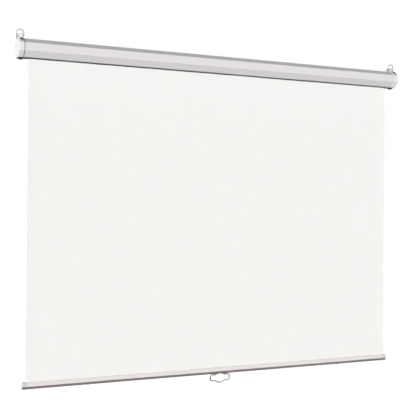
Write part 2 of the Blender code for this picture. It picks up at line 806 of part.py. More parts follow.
def make_roller_bracket(name, material, hole):
    """The right-hand plate that carries the roller, with the hole that its end piece needs."""
    half_w, half_h, corner = BRACKET_WIDTH / 2, BRACKET_HEIGHT / 2, BRACKET_CORNER
    y, z = ROLLER_AXIS_Y, ROLLER_AXIS_Z
    outline = [
        (y - half_w, z - half_h + corner),
        (y - half_w, z + half_h - corner),
        (y - half_w + corner, z + half_h),
        (y + half_w - corner, z + half_h),
        (y + half_w, z + half_h - corner),
        (y + half_w, z - half_h + corner),
        (y + half_w - corner, z - half_h),
        (y - half_w + corner, z - half_h),
    ]
    spread = (-BRACKET_SCREW_SPREAD, BRACKET_SCREW_SPREAD)
    screws = [circle((y, z + up), SCREW_SHANK + GAP, SMALL_SIDES) for up in spread]
    plate = curve_prism(name, outline, BRACKET_INNER_X, BRACKET_OUTER_X, material, holes=[hole, *screws])
    return as_mesh(plate)


def make_idle_bush(material):
    """The flanged nylon bush that the idle pin turns in."""
    bore = IDLE_PIN_RADIUS + RUNNING_GAP / 2
    outer = bore + BUSH_WALL
    seat = BRACKET_INNER_X - GAP
    profile = [
        (seat + BUSH_LENGTH, outer),
        (seat, outer),
        (seat, BUSH_FLANGE_RADIUS),
        (seat - BUSH_FLANGE, BUSH_FLANGE_RADIUS),
        (seat - BUSH_FLANGE, bore),
        (seat + BUSH_LENGTH, bore),
    ]
    return turned("idle_bush", profile, material)


def make_idle_plug(material):
    """The plug in the right-hand end of the tube, with its pin."""
    pin_end = BRACKET_INNER_X - GAP + BUSH_LENGTH - GAP
    profile = [
        (pin_end, 0.0),
        (pin_end, IDLE_PIN_RADIUS),
        (FLANGE_OUTER_X, IDLE_PIN_RADIUS),
        (FLANGE_OUTER_X, FLANGE_RADIUS),
        (FLANGE_INNER_X, FLANGE_RADIUS),
        (FLANGE_INNER_X, PLUG_RADIUS),
        (HALF_TUBE - PLUG_DEPTH, PLUG_RADIUS),
        (HALF_TUBE - PLUG_DEPTH, 0.0),
    ]
    return turned("idle_plug", profile, material)


def make_spring_ferrule(material):
    """The plug in the left-hand end of the tube, bored for the spindle and the pawl pins."""
    bore = SPINDLE_RADIUS + RUNNING_GAP / 2
    profile = [
        (-FLANGE_INNER_X, FLANGE_RADIUS),
        (-FLANGE_OUTER_X, FLANGE_RADIUS),
        (-FLANGE_OUTER_X, bore),
        (-HALF_TUBE + PLUG_DEPTH, bore),
        (-HALF_TUBE + PLUG_DEPTH, PLUG_RADIUS),
        (-FLANGE_INNER_X, PLUG_RADIUS),
    ]
    ferrule = turned("spring_ferrule", profile, material)
    for pivot in pawl_pivots():
        hole = cylinder(
            "pin_hole",
            PAWL_PIN_RADIUS + GAP,
            (-FLANGE_OUTER_X - CUT, pivot.y, pivot.z),
            (-FLANGE_OUTER_X + PAWL_PIN_SEAT, pivot.y, pivot.z),
            None,
            SMALL_SIDES,
        )
        ferrule = cut(ferrule, hole)
    return ferrule


def make_spring_anchor(material):
    """The plug deep in the tube that the moving end of the spring holds on to."""
    hub = SPRING_SEAT_RADIUS
    bore = SPINDLE_RADIUS + RUNNING_GAP / 2
    base = -SPINDLE_END_X + ANCHOR_THICKNESS
    profile = [
        (base, PLUG_RADIUS),
        (-SPINDLE_END_X, PLUG_RADIUS),
        (-SPINDLE_END_X, hub),
        (-SPINDLE_END_X - ANCHOR_HUB_LENGTH, hub),
        (-SPINDLE_END_X - ANCHOR_HUB_LENGTH, bore),
        (base, bore),
    ]
    return turned("spring_anchor", profile, material)


def make_spindle(material):
    """The rod that doesn't turn: a flat tang, a round shaft and the collar that holds the spring."""
    collar = SPRING_SEAT_RADIUS
    collar_start = HALF_TUBE - PLUG_DEPTH - GAP
    collar_end = collar_start - ANCHOR_HUB_LENGTH
    shaft_end = BRACKET_INNER_X - GAP
    profile = [
        (-SPINDLE_END_X, 0.0),
        (-SPINDLE_END_X, SPINDLE_RADIUS),
        (-collar_end, SPINDLE_RADIUS),
        (-collar_end, collar),
        (-collar_start, collar),
        (-collar_start, SPINDLE_RADIUS),
        (-shaft_end, SPINDLE_RADIUS),
        (-shaft_end, 0.0),
    ]
    spindle = turned("spindle", profile, material)
    tang = box(
        "tang",
        (-BRACKET_OUTER_X - TANG_REACH, ROLLER_AXIS_Y - TANG_THICKNESS / 2, ROLLER_AXIS_Z - TANG_HEIGHT / 2),
        (-shaft_end + CUT, ROLLER_AXIS_Y + TANG_THICKNESS / 2, ROLLER_AXIS_Z + TANG_HEIGHT / 2),
        None,
    )
    return join(spindle, tang)


def make_torsion_spring(material):
    """The helix around the spindle, from its collar to the anchor's hub."""
    start, end = -SPRING_START_X, -SPINDLE_END_X - SPRING_WIRE_RADIUS - GAP
    count = SPRING_TURNS * SPRING_POINTS_PER_TURN
    points = []
    for i in range(count + 1):
        share = i / count
        turn = 2 * math.pi * SPRING_TURNS * share
        # Half a turn lies flat at each end, so that it seats on the collar or the hub.
        flat = 1.0 / SPRING_TURNS
        eased = min(max((share - flat / 2) / (1 - flat), 0.0), 1.0)
        along = SPRING_FLAT_SHARE * share + (1 - SPRING_FLAT_SHARE) * eased
        points.append(
            (
                start + (end - start) * along,
                ROLLER_AXIS_Y + SPRING_COIL_RADIUS * math.cos(turn),
                ROLLER_AXIS_Z + SPRING_COIL_RADIUS * math.sin(turn),
            )
        )
    return as_mesh(wire("torsion_spring", points, SPRING_WIRE_RADIUS, material, resolution=1))


def wheel_x():
    """The ratchet wheel's outer and inner face."""
    inner = -FLANGE_OUTER_X - WHEEL_FROM_FLANGE
    return inner - WHEEL_THICKNESS, inner


def make_ratchet_wheel(material):
    """The notched wheel on the spindle. Each notch has a steep wall that a pawl's tip pushes on."""
    right = [
        (NOTCH_SLOPE_END, math.sqrt(WHEEL_RADIUS**2 - NOTCH_SLOPE_END**2)),
        (NOTCH_FLOOR_END, NOTCH_FLOOR),
        (-NOTCH_WALL, NOTCH_FLOOR),
        (-NOTCH_WALL, math.sqrt(WHEEL_RADIUS**2 - NOTCH_WALL**2)),
    ]
    start = math.atan2(right[-1][1], right[-1][0])
    end = math.pi + math.atan2(right[0][1], right[0][0])
    half = right + arc((0, 0), WHEEL_RADIUS, start, end, WHEEL_RIM_STEPS)[1:-1]
    outline = half + [(-y, -z) for y, z in half]
    outline = [(ROLLER_AXIS_Y + y, ROLLER_AXIS_Z + z) for y, z in outline]
    bore = circle((ROLLER_AXIS_Y, ROLLER_AXIS_Z), SPINDLE_RADIUS + GAP, CYLINDER_SIDES)
    low, high = wheel_x()
    return as_mesh(curve_prism("ratchet_wheel", outline, low, high, material, holes=[bore]))


def pawl_pivots():
    """The upper and the lower pawl's pivots."""
    places = []
    for turn in (0.0, math.pi):
        angle = PAWL_PIVOT_ANGLE + turn
        y = ROLLER_AXIS_Y + PAWL_PIVOT_RADIUS * math.cos(angle)
        z = ROLLER_AXIS_Z + PAWL_PIVOT_RADIUS * math.sin(angle)
        places.append(Vector((0, y, z)))
    return places


def pawl_x():
    """The two faces of a pawl, in the middle of the wheel's thickness."""
    low, high = wheel_x()
    middle = (low + high) / 2
    return middle - PAWL_THICKNESS / 2, middle + PAWL_THICKNESS / 2


def make_pawl(name, pivot, turn, material):
    """A pawl lifted clear of the wheel: a round eye that tapers to a blunt tip."""
    direction = PAWL_REST_ANGLE + turn
    side = direction + math.pi / 2
    eye = arc((pivot.y, pivot.z), PAWL_ROOT_RADIUS, side, side + math.pi, PAWL_EYE_STEPS)
    tip = (pivot.y + PAWL_LENGTH * math.cos(direction), pivot.z + PAWL_LENGTH * math.sin(direction))
    edge = (PAWL_TIP_HALF * math.cos(side), PAWL_TIP_HALF * math.sin(side))
    outline = eye + [(tip[0] - edge[0], tip[1] - edge[1]), (tip[0] + edge[0], tip[1] + edge[1])]
    hole = circle((pivot.y, pivot.z), PAWL_PIN_RADIUS + GAP, SMALL_SIDES)
    low, high = pawl_x()
    return as_mesh(curve_prism(name, outline, low, high, material, holes=[hole]))


def make_pawl_pin(name, pivot, material):
    """The pin that holds a pawl on the ferrule, with its head outside the pawl."""
    under_head = pawl_x()[0] - GAP
    top = Vector((under_head - PAWL_PIN_HEAD_HEIGHT, pivot.y, pivot.z))
    under = Vector((under_head, pivot.y, pivot.z))
    end = (-FLANGE_OUTER_X + PAWL_PIN_SEAT - GAP, pivot.y, pivot.z)
    head = cylinder(name, PAWL_PIN_HEAD, top, under, material, SMALL_SIDES)
    shank = cylinder("pin_shank", PAWL_PIN_RADIUS, (top + under) / 2, end, None, SMALL_SIDES)
    return join(head, shank)


def make_slat(material):
    """The light bar: an extrusion with a round channel for the hem rod and a slot for the fabric."""
    half_d, slot = SLAT_DEPTH / 2, SLAT_SLOT / 2
    lip_angle = math.acos(slot / SLAT_CHANNEL_RADIUS)
    channel = arc((0.0, 0.0), SLAT_CHANNEL_RADIUS, lip_angle, -math.pi - lip_angle, CHANNEL_STEPS)
    top, bottom = SLAT_HEIGHT / 2, -SLAT_HEIGHT / 2
    outline = [
        (-slot, top),
        (-half_d + SLAT_TOP_BEVEL, top),
        (-half_d, top - SLAT_TOP_BEVEL),
        (-half_d, bottom),
        (half_d, bottom),
        (half_d, top - SLAT_TOP_BEVEL),
        (half_d - SLAT_TOP_BEVEL, top),
        (slot, top),
    ] + channel
    placed = [(FABRIC_Y + y, SLAT_MIDDLE_Z + z) for y, z in outline]
    slat = as_mesh(curve_prism("slat", placed, -HALF_SLAT, HALF_SLAT, material))
    for x in bar_screw_places():
        hole = cylinder(
            "slat_hole",
            SCREW_SHANK + GAP,
            (x, FABRIC_Y, SLAT_BOTTOM_Z - CUT),
            (x, FABRIC_Y, SLAT_BOTTOM_Z + SCREW_INTO_SLAT + GAP),
            None,
            SMALL_SIDES,
        )
        slat = cut(slat, hole)
    return slat


def bar_screw_places():
    """The x of each screw that goes up through the rail into the slat."""
    clips = [HANDLE_X + side * CLIP_SCREW_X for side in (-1, 1)]
    return clips + [-RAIL_SCREW_X, RAIL_SCREW_X]


def make_rail(material):
    """The dark ballast rail under the slat, with its lower edges bevelled."""
    half_d, top, bottom = RAIL_DEPTH / 2, RAIL_TOP_Z, BAR_BOTTOM_Z
    outline = [
        (FABRIC_Y - half_d, top),
        (FABRIC_Y - half_d, bottom + RAIL_BEVEL),
        (FABRIC_Y - half_d + RAIL_BEVEL, bottom),
        (FABRIC_Y + half_d - RAIL_BEVEL, bottom),
        (FABRIC_Y + half_d, bottom + RAIL_BEVEL),
        (FABRIC_Y + half_d, top),
    ]
    rail = as_mesh(curve_prism("ballast_rail", outline, -HALF_BAR, HALF_BAR, material))
    for x in bar_screw_places():
        hole = cylinder(
            "rail_hole",
            SCREW_SHANK + GAP,
            (x, FABRIC_Y, bottom - CUT),
            (x, FABRIC_Y, top + CUT),
            None,
            SMALL_SIDES,
        )
        rail = cut(rail, hole)
    return rail


def make_slat_cap(material):
    """The right-hand cap of the slat, with a spigot that fits the channel beside the hem rod's end."""
    half_d, top, bottom = SLAT_DEPTH / 2, SLAT_TOP_Z, SLAT_BOTTOM_Z
    outline = [
        (FABRIC_Y - half_d + SLAT_TOP_BEVEL, top),
        (FABRIC_Y - half_d, top - SLAT_TOP_BEVEL),
        (FABRIC_Y - half_d, bottom),
        (FABRIC_Y + half_d, bottom),
        (FABRIC_Y + half_d, top - SLAT_TOP_BEVEL),
        (FABRIC_Y + half_d - SLAT_TOP_BEVEL, top),
    ]
    cap = as_mesh(curve_prism("slat_cap_right", outline, HALF_SLAT + GAP, HALF_BAR, material))
    cap = round_edges(cap, outer_rim, SLAT_CAP_BEVEL)
    spigot = cylinder(
        "slat_spigot",
        SLAT_CHANNEL_RADIUS - SLAT_SPIGOT_GAP,
        (HALF_SLAT - SLAT_SPIGOT_LENGTH, FABRIC_Y, SLAT_MIDDLE_Z),
        (HALF_SLAT + CUT, FABRIC_Y, SLAT_MIDDLE_Z),
        None,
        SMALL_SIDES,
    )
    cap = join(cap, spigot)
    slit = box(
        "fabric_slit",
        (HALF_SLAT - SLAT_SPIGOT_LENGTH - CUT, FABRIC_Y - SLAT_SLOT / 2, SLAT_MIDDLE_Z + HEM_ROD_RADIUS),
        (HALF_FABRIC + SLIT_PAST_FABRIC, FABRIC_Y + SLAT_SLOT / 2, SLAT_TOP_Z + CUT),
        None,
    )
    return cut(cap, slit)


def make_hem_rod(material):
    """The rod in the fabric's hem, between the spigots of the slat's caps."""
    end = Vector((HALF_SLAT - SLAT_SPIGOT_LENGTH - GAP, FABRIC_Y, SLAT_MIDDLE_Z))
    start = Vector((-end.x, end.y, end.z))
    return cylinder("hem_rod", HEM_ROD_RADIUS, start, end, material, SMALL_SIDES)


def make_screen_fabric(material):
    """The sheet from the roller down to the hem rod."""
    low = (-HALF_FABRIC, FABRIC_Y - FABRIC_THICKNESS / 2, SLAT_MIDDLE_Z + HEM_ROD_RADIUS + GAP)
    high = (HALF_FABRIC, FABRIC_Y + FABRIC_THICKNESS / 2, ROLLER_AXIS_Z)
    return box("screen_fabric", low, high, material)


def make_handle(material):
    """The pull handle: a wire that turns in two clips and dips in the middle."""
    half, axis, end = HANDLE_WIDTH / 2 - HANDLE_WIRE_RADIUS, HANDLE_AXIS_Z, HANDLE_END_X
    side_z = BAR_BOTTOM_Z - HANDLE_DROP + HANDLE_WIRE_RADIUS
    low_z = side_z - HANDLE_BULGE
    corners = [
        (end, 0, axis),
        (half, 0, axis),
        (half, 0, side_z),
        (HANDLE_BULGE_HALF, 0, side_z),
        (0, 0, low_z),
        (-HANDLE_BULGE_HALF, 0, side_z),
        (-half, 0, side_z),
        (-half, 0, axis),
        (-end, 0, axis),
    ]
    top, side, bulge = HANDLE_TOP_BEND, HANDLE_SIDE_BEND, HANDLE_BULGE_BEND
    radii = [top, side, bulge, bulge, bulge, side, top]
    path = rounded_path(corners, radii, HANDLE_BEND_STEPS)
    points = [(HANDLE_X + p.x, FABRIC_Y, p.z) for p in path]
    return as_mesh(wire("pull_handle", points, HANDLE_WIRE_RADIUS, material))


def make_handle_clip(name, side, material):
    """A clip under the rail: a plate with a screw tab and a barrel around the handle's wire."""
    bore = HANDLE_WIRE_RADIUS + GAP
    outer = bore + CLIP_WALL
    middle = HANDLE_X + side * CLIP_X
    inner_end = middle - side * (CLIP_LENGTH / 2 + CLIP_TAB)
    outer_end = middle + side * (CLIP_LENGTH / 2 + GAP)
    top = BAR_BOTTOM_Z - GAP
    half_d = CLIP_PLATE_DEPTH / 2
    plate = box(
        name,
        (min(inner_end, outer_end), FABRIC_Y - half_d, top - CLIP_PLATE),
        (max(inner_end, outer_end), FABRIC_Y + half_d, top),
        material,
    )
    half_neck = (bore + outer) / 2
    lift = math.acos(half_neck / outer)
    axis = (FABRIC_Y, HANDLE_AXIS_Z)
    loop = arc(axis, outer, lift, -math.pi - lift, BARREL_STEPS)
    loop += [(FABRIC_Y + across, top - CLIP_PLATE / 2) for across in (-half_neck, half_neck)]
    low, high = middle - CLIP_LENGTH / 2, middle + CLIP_LENGTH / 2
    barrel = curve_prism("barrel", loop, low, high, None, [circle(axis, bore, SMALL_SIDES)])
    clip = join(plate, as_mesh(barrel))
    screw_top = Vector((HANDLE_X + side * CLIP_SCREW_X, FABRIC_Y, top))
    past = Vector((0, 0, CUT))
    hole = cylinder("clip_hole", SCREW_SHANK + GAP, screw_top - past, screw_top + past, None, SMALL_SIDES)
    return cut(clip, hole)


def build_case(finish):
    """The case, its caps, hangers and feet."""
    make_case_shell(finish["shell"])
    cap = make_end_cap(finish["cap"])
    mirrored(cap, "end_cap_left")
    bracket = make_hanger_bracket(finish["zinc"])
    mirrored(bracket, "hanger_bracket_left")
    seat, outwards = hanger_screw_place()
    seat = seat + outwards * (GAP + HANGER_PLATE)
    bolt = screw(
        "hanger_screw_right",
        seat,
        -outwards,
        finish["black"],
        depth=SCREW_DEPTH,
        head=HANGER_SCREW_RADIUS,
        height=HANGER_SCREW_HEAD,
    )
    mirrored(bolt, "hanger_screw_left")
    ring = make_hanger_ring(finish["zinc"])
    left_ring = mirrored(ring, "hanger_ring_left")
    put_on_axis(ring, (HANGER_X, RING_Y, RING_PIVOT_Z), "hanger_right_axis")
    put_on_axis(left_ring, (-HANGER_X, RING_Y, RING_PIVOT_Z), "hanger_left_axis")
    foot_top = -HALF_HEIGHT - CAP_PROUD - GAP
    foot = box(
        "foot_right",
        (FOOT_X - FOOT_LENGTH / 2, FABRIC_Y - FOOT_DEPTH / 2, foot_top - FOOT_HEIGHT),
        (FOOT_X + FOOT_LENGTH / 2, FABRIC_Y + FOOT_DEPTH / 2, foot_top),
        finish["rubber"],
        bevel=FOOT_BEVEL,
    )
    mirrored(foot, "foot_left")
    place = (HALF_SHELL - CAP_SCREW_INSET, CAP_SCREW_Y, -HALF_HEIGHT)
    bolt = screw("cap_screw_right", place, (0, 0, 1), finish["steel"])
    mirrored(bolt, "cap_screw_left")


def build_brackets(finish):
    """The plates, screws and bush that carry the roller inside the caps."""
    y, z = ROLLER_AXIS_Y, ROLLER_AXIS_Z
    bush_hole = IDLE_PIN_RADIUS + RUNNING_GAP / 2 + BUSH_WALL + GAP
    round_hole = circle((y, z), bush_hole, CYLINDER_SIDES)
    make_roller_bracket("roller_bracket_right", finish["steel"], round_hole)
    half_t, half_h = TANG_THICKNESS / 2 + GAP, TANG_HEIGHT / 2 + GAP
    corners = [(-half_t, -half_h), (half_t, -half_h), (half_t, half_h), (-half_t, half_h)]
    slot = [(y + across, z + up) for across, up in corners]
    plate = make_roller_bracket("left_plate", finish["steel"], slot)
    mirrored(plate, "roller_bracket_left")
    bpy.data.objects.remove(plate, do_unlink=True)
    for side, word in ((1, "upper"), (-1, "lower")):
        seat = (BRACKET_INNER_X, y, z + side * BRACKET_SCREW_SPREAD)
        bolt = screw(f"bracket_screw_right_{word}", seat, (1, 0, 0), finish["steel"])
        mirrored(bolt, f"bracket_screw_left_{word}")
    make_idle_bush(finish["nylon"])


def build_roller(finish):
    """The roller, its spring and its ratchet."""
    tube = tube_section(-HALF_TUBE, HALF_TUBE, TUBE_INNER, ROLLER_RADIUS)
    wraps = tube_section(-HALF_FABRIC, HALF_FABRIC, WRAP_INNER, WRAP_OUTER)
    pieces = [
        turned("roller_tube", tube, finish["steel"]),
        turned("fabric_wraps", wraps, finish["fabric"]),
        make_idle_plug(finish["nylon"]),
        make_spring_ferrule(finish["steel"]),
        make_spring_anchor(finish["nylon"]),
    ]
    make_spindle(finish["steel"])
    make_torsion_spring(finish["spring"])
    make_ratchet_wheel(finish["steel"])
    for turn, word, pivot in zip((0.0, math.pi), ("upper", "lower"), pawl_pivots()):
        pieces.append(make_pawl_pin(f"pawl_pin_{word}", pivot, finish["steel"]))
        pawl = make_pawl(f"pawl_{word}", pivot, turn, finish["steel"])
        place = (sum(pawl_x()) / 2, pivot.y, pivot.z)
        put_on_axis(pawl, place, f"pawl_{word}_axis")
    for piece in pieces:
        put_on_axis(piece, (0, ROLLER_AXIS_Y, ROLLER_AXIS_Z), "roller_axis")


def build_bar(finish):
    """The fabric, the bar on its hem and the pull handle."""
    make_screen_fabric(finish["fabric"])
    pieces = [make_slat(finish["shell"]), make_rail(finish["dark"]), make_hem_rod(finish["wood"])]
    cap = make_slat_cap(finish["slat_cap"])
    pieces += [cap, mirrored(cap, "slat_cap_left")]
    for side, word in ((-1, "left"), (1, "right")):
        pieces.append(make_handle_clip(f"handle_clip_{word}", side, finish["dark"]))
        seat = (HANDLE_X + side * CLIP_SCREW_X, FABRIC_Y, BAR_BOTTOM_Z - GAP - CLIP_PLATE)
        into_slat = RAIL_HEIGHT + GAP + SCREW_INTO_SLAT
        depth = CLIP_PLATE + GAP + into_slat
        pieces.append(screw(f"clip_screw_{word}", seat, (0, 0, 1), finish["steel"], depth=depth))
        seat = (side * RAIL_SCREW_X, FABRIC_Y, BAR_BOTTOM_Z)
        pieces.append(screw(f"rail_screw_{word}", seat, (0, 0, 1), finish["steel"], depth=into_slat))
    for piece in pieces:
        put_on_axis(piece, (0, FABRIC_Y, SLAT_MIDDLE_Z), "bar_slide")
    handle = make_handle(finish["wire"])
    put_on_axis(handle, (HANDLE_X, FABRIC_Y, HANDLE_AXIS_Z), "handle_axis")


def make_finishes():
    """Every finish, by the name that the builders use."""
    return {
        "shell": make_material("enamelled_case_sheet", (0.76, 0.76, 0.77), 0.35),
        "cap": make_material("moulded_cap_plastic", (0.84, 0.84, 0.83), 0.45),
        "slat_cap": make_material("moulded_slat_cap", (0.60, 0.60, 0.59), 0.5),
        "zinc": make_material("zinc_plated_steel", (0.62, 0.62, 0.63), 0.35, 1.0),
        "wire": make_material("plated_handle_wire", (0.60, 0.60, 0.60), 0.35, 1.0),
        "steel": make_material("bright_steel", (0.55, 0.55, 0.56), 0.4, 1.0),
        "spring": make_material("spring_steel", (0.20, 0.20, 0.21), 0.4, 1.0),
        "black": make_material("black_screw", (0.03, 0.03, 0.03), 0.4),
        "rubber": make_material("dark_rubber", (0.06, 0.055, 0.06), 0.8),
        "dark": make_material("dark_rail_paint", (0.20, 0.19, 0.20), 0.5),
        "nylon": make_material("natural_nylon", (0.80, 0.79, 0.74), 0.5),
        "wood": make_material("wooden_rod", (0.55, 0.40, 0.24), 0.6),
        "fabric": make_material("white_screen_fabric", (0.88, 0.87, 0.86), 0.9),
    }


def main():
    """Builds the whole screen."""
    clear_scene()
    finish = make_finishes()
    build_case(finish)
    build_brackets(finish)
    build_roller(finish)
    build_bar(finish)


main()
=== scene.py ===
"""Looks of the pull-down projector screen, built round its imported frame.

Metres, in the frame's own axes: +Z is up, +X runs along the case and -Y is the side that the audience
sees. Every piece is built where its CAD node stands and rides on that node's body.
"""

import json
import logging
import math
from collections.abc import Callable, Iterable, Sequence
from dataclasses import dataclass
from enum import Enum

import bmesh
import bpy
from mathutils import Matrix, Vector

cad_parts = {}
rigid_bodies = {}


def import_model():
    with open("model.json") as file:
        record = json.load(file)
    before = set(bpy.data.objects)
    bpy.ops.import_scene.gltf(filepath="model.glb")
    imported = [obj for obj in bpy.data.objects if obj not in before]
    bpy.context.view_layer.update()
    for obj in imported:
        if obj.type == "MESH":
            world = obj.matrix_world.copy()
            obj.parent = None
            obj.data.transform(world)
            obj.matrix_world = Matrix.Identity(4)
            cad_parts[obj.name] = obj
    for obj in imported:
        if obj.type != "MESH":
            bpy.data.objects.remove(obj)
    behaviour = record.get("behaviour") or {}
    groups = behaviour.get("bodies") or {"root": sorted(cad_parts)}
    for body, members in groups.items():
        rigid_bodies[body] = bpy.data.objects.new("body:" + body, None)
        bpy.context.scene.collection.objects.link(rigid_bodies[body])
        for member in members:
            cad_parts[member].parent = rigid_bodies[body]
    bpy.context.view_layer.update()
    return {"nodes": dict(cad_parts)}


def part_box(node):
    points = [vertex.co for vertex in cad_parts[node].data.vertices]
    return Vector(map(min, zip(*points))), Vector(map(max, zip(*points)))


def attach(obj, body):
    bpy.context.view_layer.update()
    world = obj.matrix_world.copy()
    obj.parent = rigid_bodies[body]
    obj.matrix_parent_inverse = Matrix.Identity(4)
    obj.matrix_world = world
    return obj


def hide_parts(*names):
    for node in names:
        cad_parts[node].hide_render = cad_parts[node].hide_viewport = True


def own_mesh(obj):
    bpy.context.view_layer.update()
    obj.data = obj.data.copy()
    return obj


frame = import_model()

LOG = logging.getLogger("projector_screen")
GAP = 0.0003  # between pieces that touch, as in the frame
SHARP = math.radians(32)
TINY = 1e-6

Edge = bmesh.types.BMEdge
Vert = bmesh.types.BMVert
Shape = bmesh.types.BMesh
Point = tuple[float, float]


class Side(Enum):
    """One of the two ends of the case, by the sign of its X."""

    LEFT = -1
    RIGHT = 1

    def named(self, piece: str) -> str:
        """The name of this side's copy of a piece."""
        return f"{piece}_{self.name.lower()}"


# Finishes


def linear(code: str) -> tuple[float, float, float, float]:
    """Turns an sRGB hex colour to linear light.

    Args:
        code: the colour, such as "#E4E4E6".

    Returns:
        Linear red, green and blue, with an alpha of 1.
    """
    shares = [int(code[i : i + 2], 16) / 255 for i in (1, 3, 5)]
    red, green, blue = (s / 12.92 if s <= 0.04045 else ((s + 0.055) / 1.055) ** 2.4 for s in shares)
    return red, green, blue, 1.0


def per(millimetres: float) -> float:
    """The scale at which a noise has features of this size."""
    return 1000 / millimetres


def bands(millimetres: float) -> float:
    """The scale at which a wave texture's bands are this far apart."""
    return 1000 * 2 * math.pi / 20 / millimetres


def add_node(tree, kind: str, values: dict | None = None, links: dict | None = None, **settings):
    """Adds a node with its settings, its values and what it is linked to.

    Args:
        tree: the node tree.
        kind: the node's type.
        values: input name or number to constant.
        links: input name or number to the socket that feeds it.
        **settings: the node's own properties.

    Returns:
        The new node.
    """
    node = tree.nodes.new(kind)
    for name, value in settings.items():
        setattr(node, name, value)
    for name, value in (values or {}).items():
        node.inputs[name].default_value = value
    for name, socket in (links or {}).items():
        tree.links.new(socket, node.inputs[name])
    return node


@dataclass(frozen=True)
class Finish:
    """What every finish has: a name, the record's slot, its colour and its polish."""

    name: str
    slot: str
    colour: str
    shade: str  # the darker tone that it varies to
    roughness: float
    metallic: float = 0.0
    ior: float = 1.5

    def make(self) -> bpy.types.Material:
        """Builds the material.

        Returns:
            The material, with this finish's own pattern on its shader.
        """
        known = bpy.data.materials.get(self.name)
        if known:
            return known
        material = bpy.data.materials.new(self.name)
        material.use_nodes = True
        tree = material.node_tree
        shader = tree.nodes["Principled BSDF"]
        shader.inputs["Base Color"].default_value = linear(self.colour)
        shader.inputs["Roughness"].default_value = self.roughness
        shader.inputs["Metallic"].default_value = self.metallic
        if not self.metallic:
            shader.inputs["IOR"].default_value = self.ior
        self.dress(tree, shader, add_node(tree, "ShaderNodeTexCoord").outputs["Object"])
        return material

    def dress(self, tree, shader, place) -> None:
        """Adds this finish's pattern to the shader.

        Args:
            tree: the material's node tree.
            shader: its Principled BSDF.
            place: the socket with object coordinates.
        """
        raise NotImplementedError

    def vary(self, tree, shader, tone, relief, depth: float, strength: float, spread: float) -> None:
        """Lets two patterns drive the colour, the polish and the relief.

        Args:
            tree: the material's node tree.
            shader: its Principled BSDF.
            tone: the socket that mixes the colour and its shade, and the roughness.
            relief: the socket that gives the height of the surface.
            depth: how deep the relief is, in metres.
            strength: how much of the relief shows.
            spread: how far the roughness varies.
        """
        tint = add_node(
            tree,
            "ShaderNodeMix",
            {6: linear(self.colour), 7: linear(self.shade)},
            {0: tone},
            data_type="RGBA",
        )
        polish = add_node(
            tree,
            "ShaderNodeMapRange",
            {"To Min": self.roughness - spread, "To Max": self.roughness + spread},
            {"Value": tone},
        )
        bump = add_node(
            tree, "ShaderNodeBump", {"Strength": strength, "Distance": depth}, {"Height": relief}
        )
        tree.links.new(tint.outputs[2], shader.inputs["Base Color"])
        tree.links.new(polish.outputs["Result"], shader.inputs["Roughness"])
        tree.links.new(bump.outputs["Normal"], shader.inputs["Normal"])


    def dim_bounce(self, tree, shader, share) -> None:
        """Darkens the finish for bounced light only, so that it doesn't flood what stands close to it.

        Args:
            tree: the material's node tree.
            shader: its Principled BSDF.
            share: the socket that says how far it is darkened.
        """
        path = add_node(tree, "ShaderNodeLightPath").outputs["Is Diffuse Ray"]
        amount = add_node(tree, "ShaderNodeMath", links={0: share, 1: path}, operation="MULTIPLY")
        tone = shader.inputs["Base Color"].links[0].from_socket
        dimmed = add_node(
            tree,
            "ShaderNodeMix",
            {7: linear("#3C3C3C")},
            {0: amount.outputs["Value"], 6: tone},
            data_type="RGBA",
        )
        tree.links.new(dimmed.outputs[2], shader.inputs["Base Color"])


@dataclass(frozen=True)
class BakedEnamel(Finish):
    """Stove enamel, sprayed on folded sheet and baked: a satin skin with a faint orange peel."""

    peel: float = 2.2  # mm
    cloud: float = 70.0  # mm, patches where the coat is a little thicker

    def dress(self, tree, shader, place) -> None:
        """Adds the peel and the clouds.

        Args:
            tree: the material's node tree.
            shader: its Principled BSDF.
            place: the socket with object coordinates.
        """
        peel = add_node(
            tree, "ShaderNodeTexNoise", {"Scale": per(self.peel), "Detail": 2.0}, {"Vector": place}
        )
        cloud = add_node(
            tree, "ShaderNodeTexNoise", {"Scale": per(self.cloud), "Detail": 3.0}, {"Vector": place}
        )
        self.vary(tree, shader, cloud.outputs["Fac"], peel.outputs["Fac"], 0.00012, 0.16, 0.05)


@dataclass(frozen=True)
class MouldedPlastic(Finish):
    """ABS or nylon, injection moulded in a spark-eroded tool: an even, very fine matt grain."""

    grain: float = 0.7  # mm, coarser than the real 0.2 mm, which wouldn't show
    flow: float = 28.0  # mm, faint flow marks

    def dress(self, tree, shader, place) -> None:
        """Adds the spark grain and the flow marks.

        Args:
            tree: the material's node tree.
            shader: its Principled BSDF.
            place: the socket with object coordinates.
        """
        grain = add_node(
            tree,
            "ShaderNodeTexVoronoi",
            {"Scale": per(self.grain)},
            {"Vector": place},
            feature="SMOOTH_F1",
        )
        flow = add_node(
            tree,
            "ShaderNodeTexNoise",
            {"Scale": per(self.flow), "Detail": 2.0, "Distortion": 1.2},
            {"Vector": place},
        )
        self.vary(tree, shader, flow.outputs["Fac"], grain.outputs["Distance"], 0.00006, 0.22, 0.05)


@dataclass(frozen=True)
class PlatedSteel(Finish):
    """Pressed or drawn steel, bright zinc plated: a soft sheen with a cloudy bloom and fine marks."""

    bloom: float = 5.0  # mm
    marks: float = 0.6  # mm

    def dress(self, tree, shader, place) -> None:
        """Adds the bloom and the marks.

        Args:
            tree: the material's node tree.
            shader: its Principled BSDF.
            place: the socket with object coordinates.
        """
        bloom = add_node(
            tree, "ShaderNodeTexNoise", {"Scale": per(self.bloom), "Detail": 4.0}, {"Vector": place}
        )
        marks = add_node(
            tree, "ShaderNodeTexNoise", {"Scale": per(self.marks), "Detail": 2.0}, {"Vector": place}
        )
        self.vary(tree, shader, bloom.outputs["Fac"], marks.outputs["Fac"], 0.00003, 0.2, 0.07)


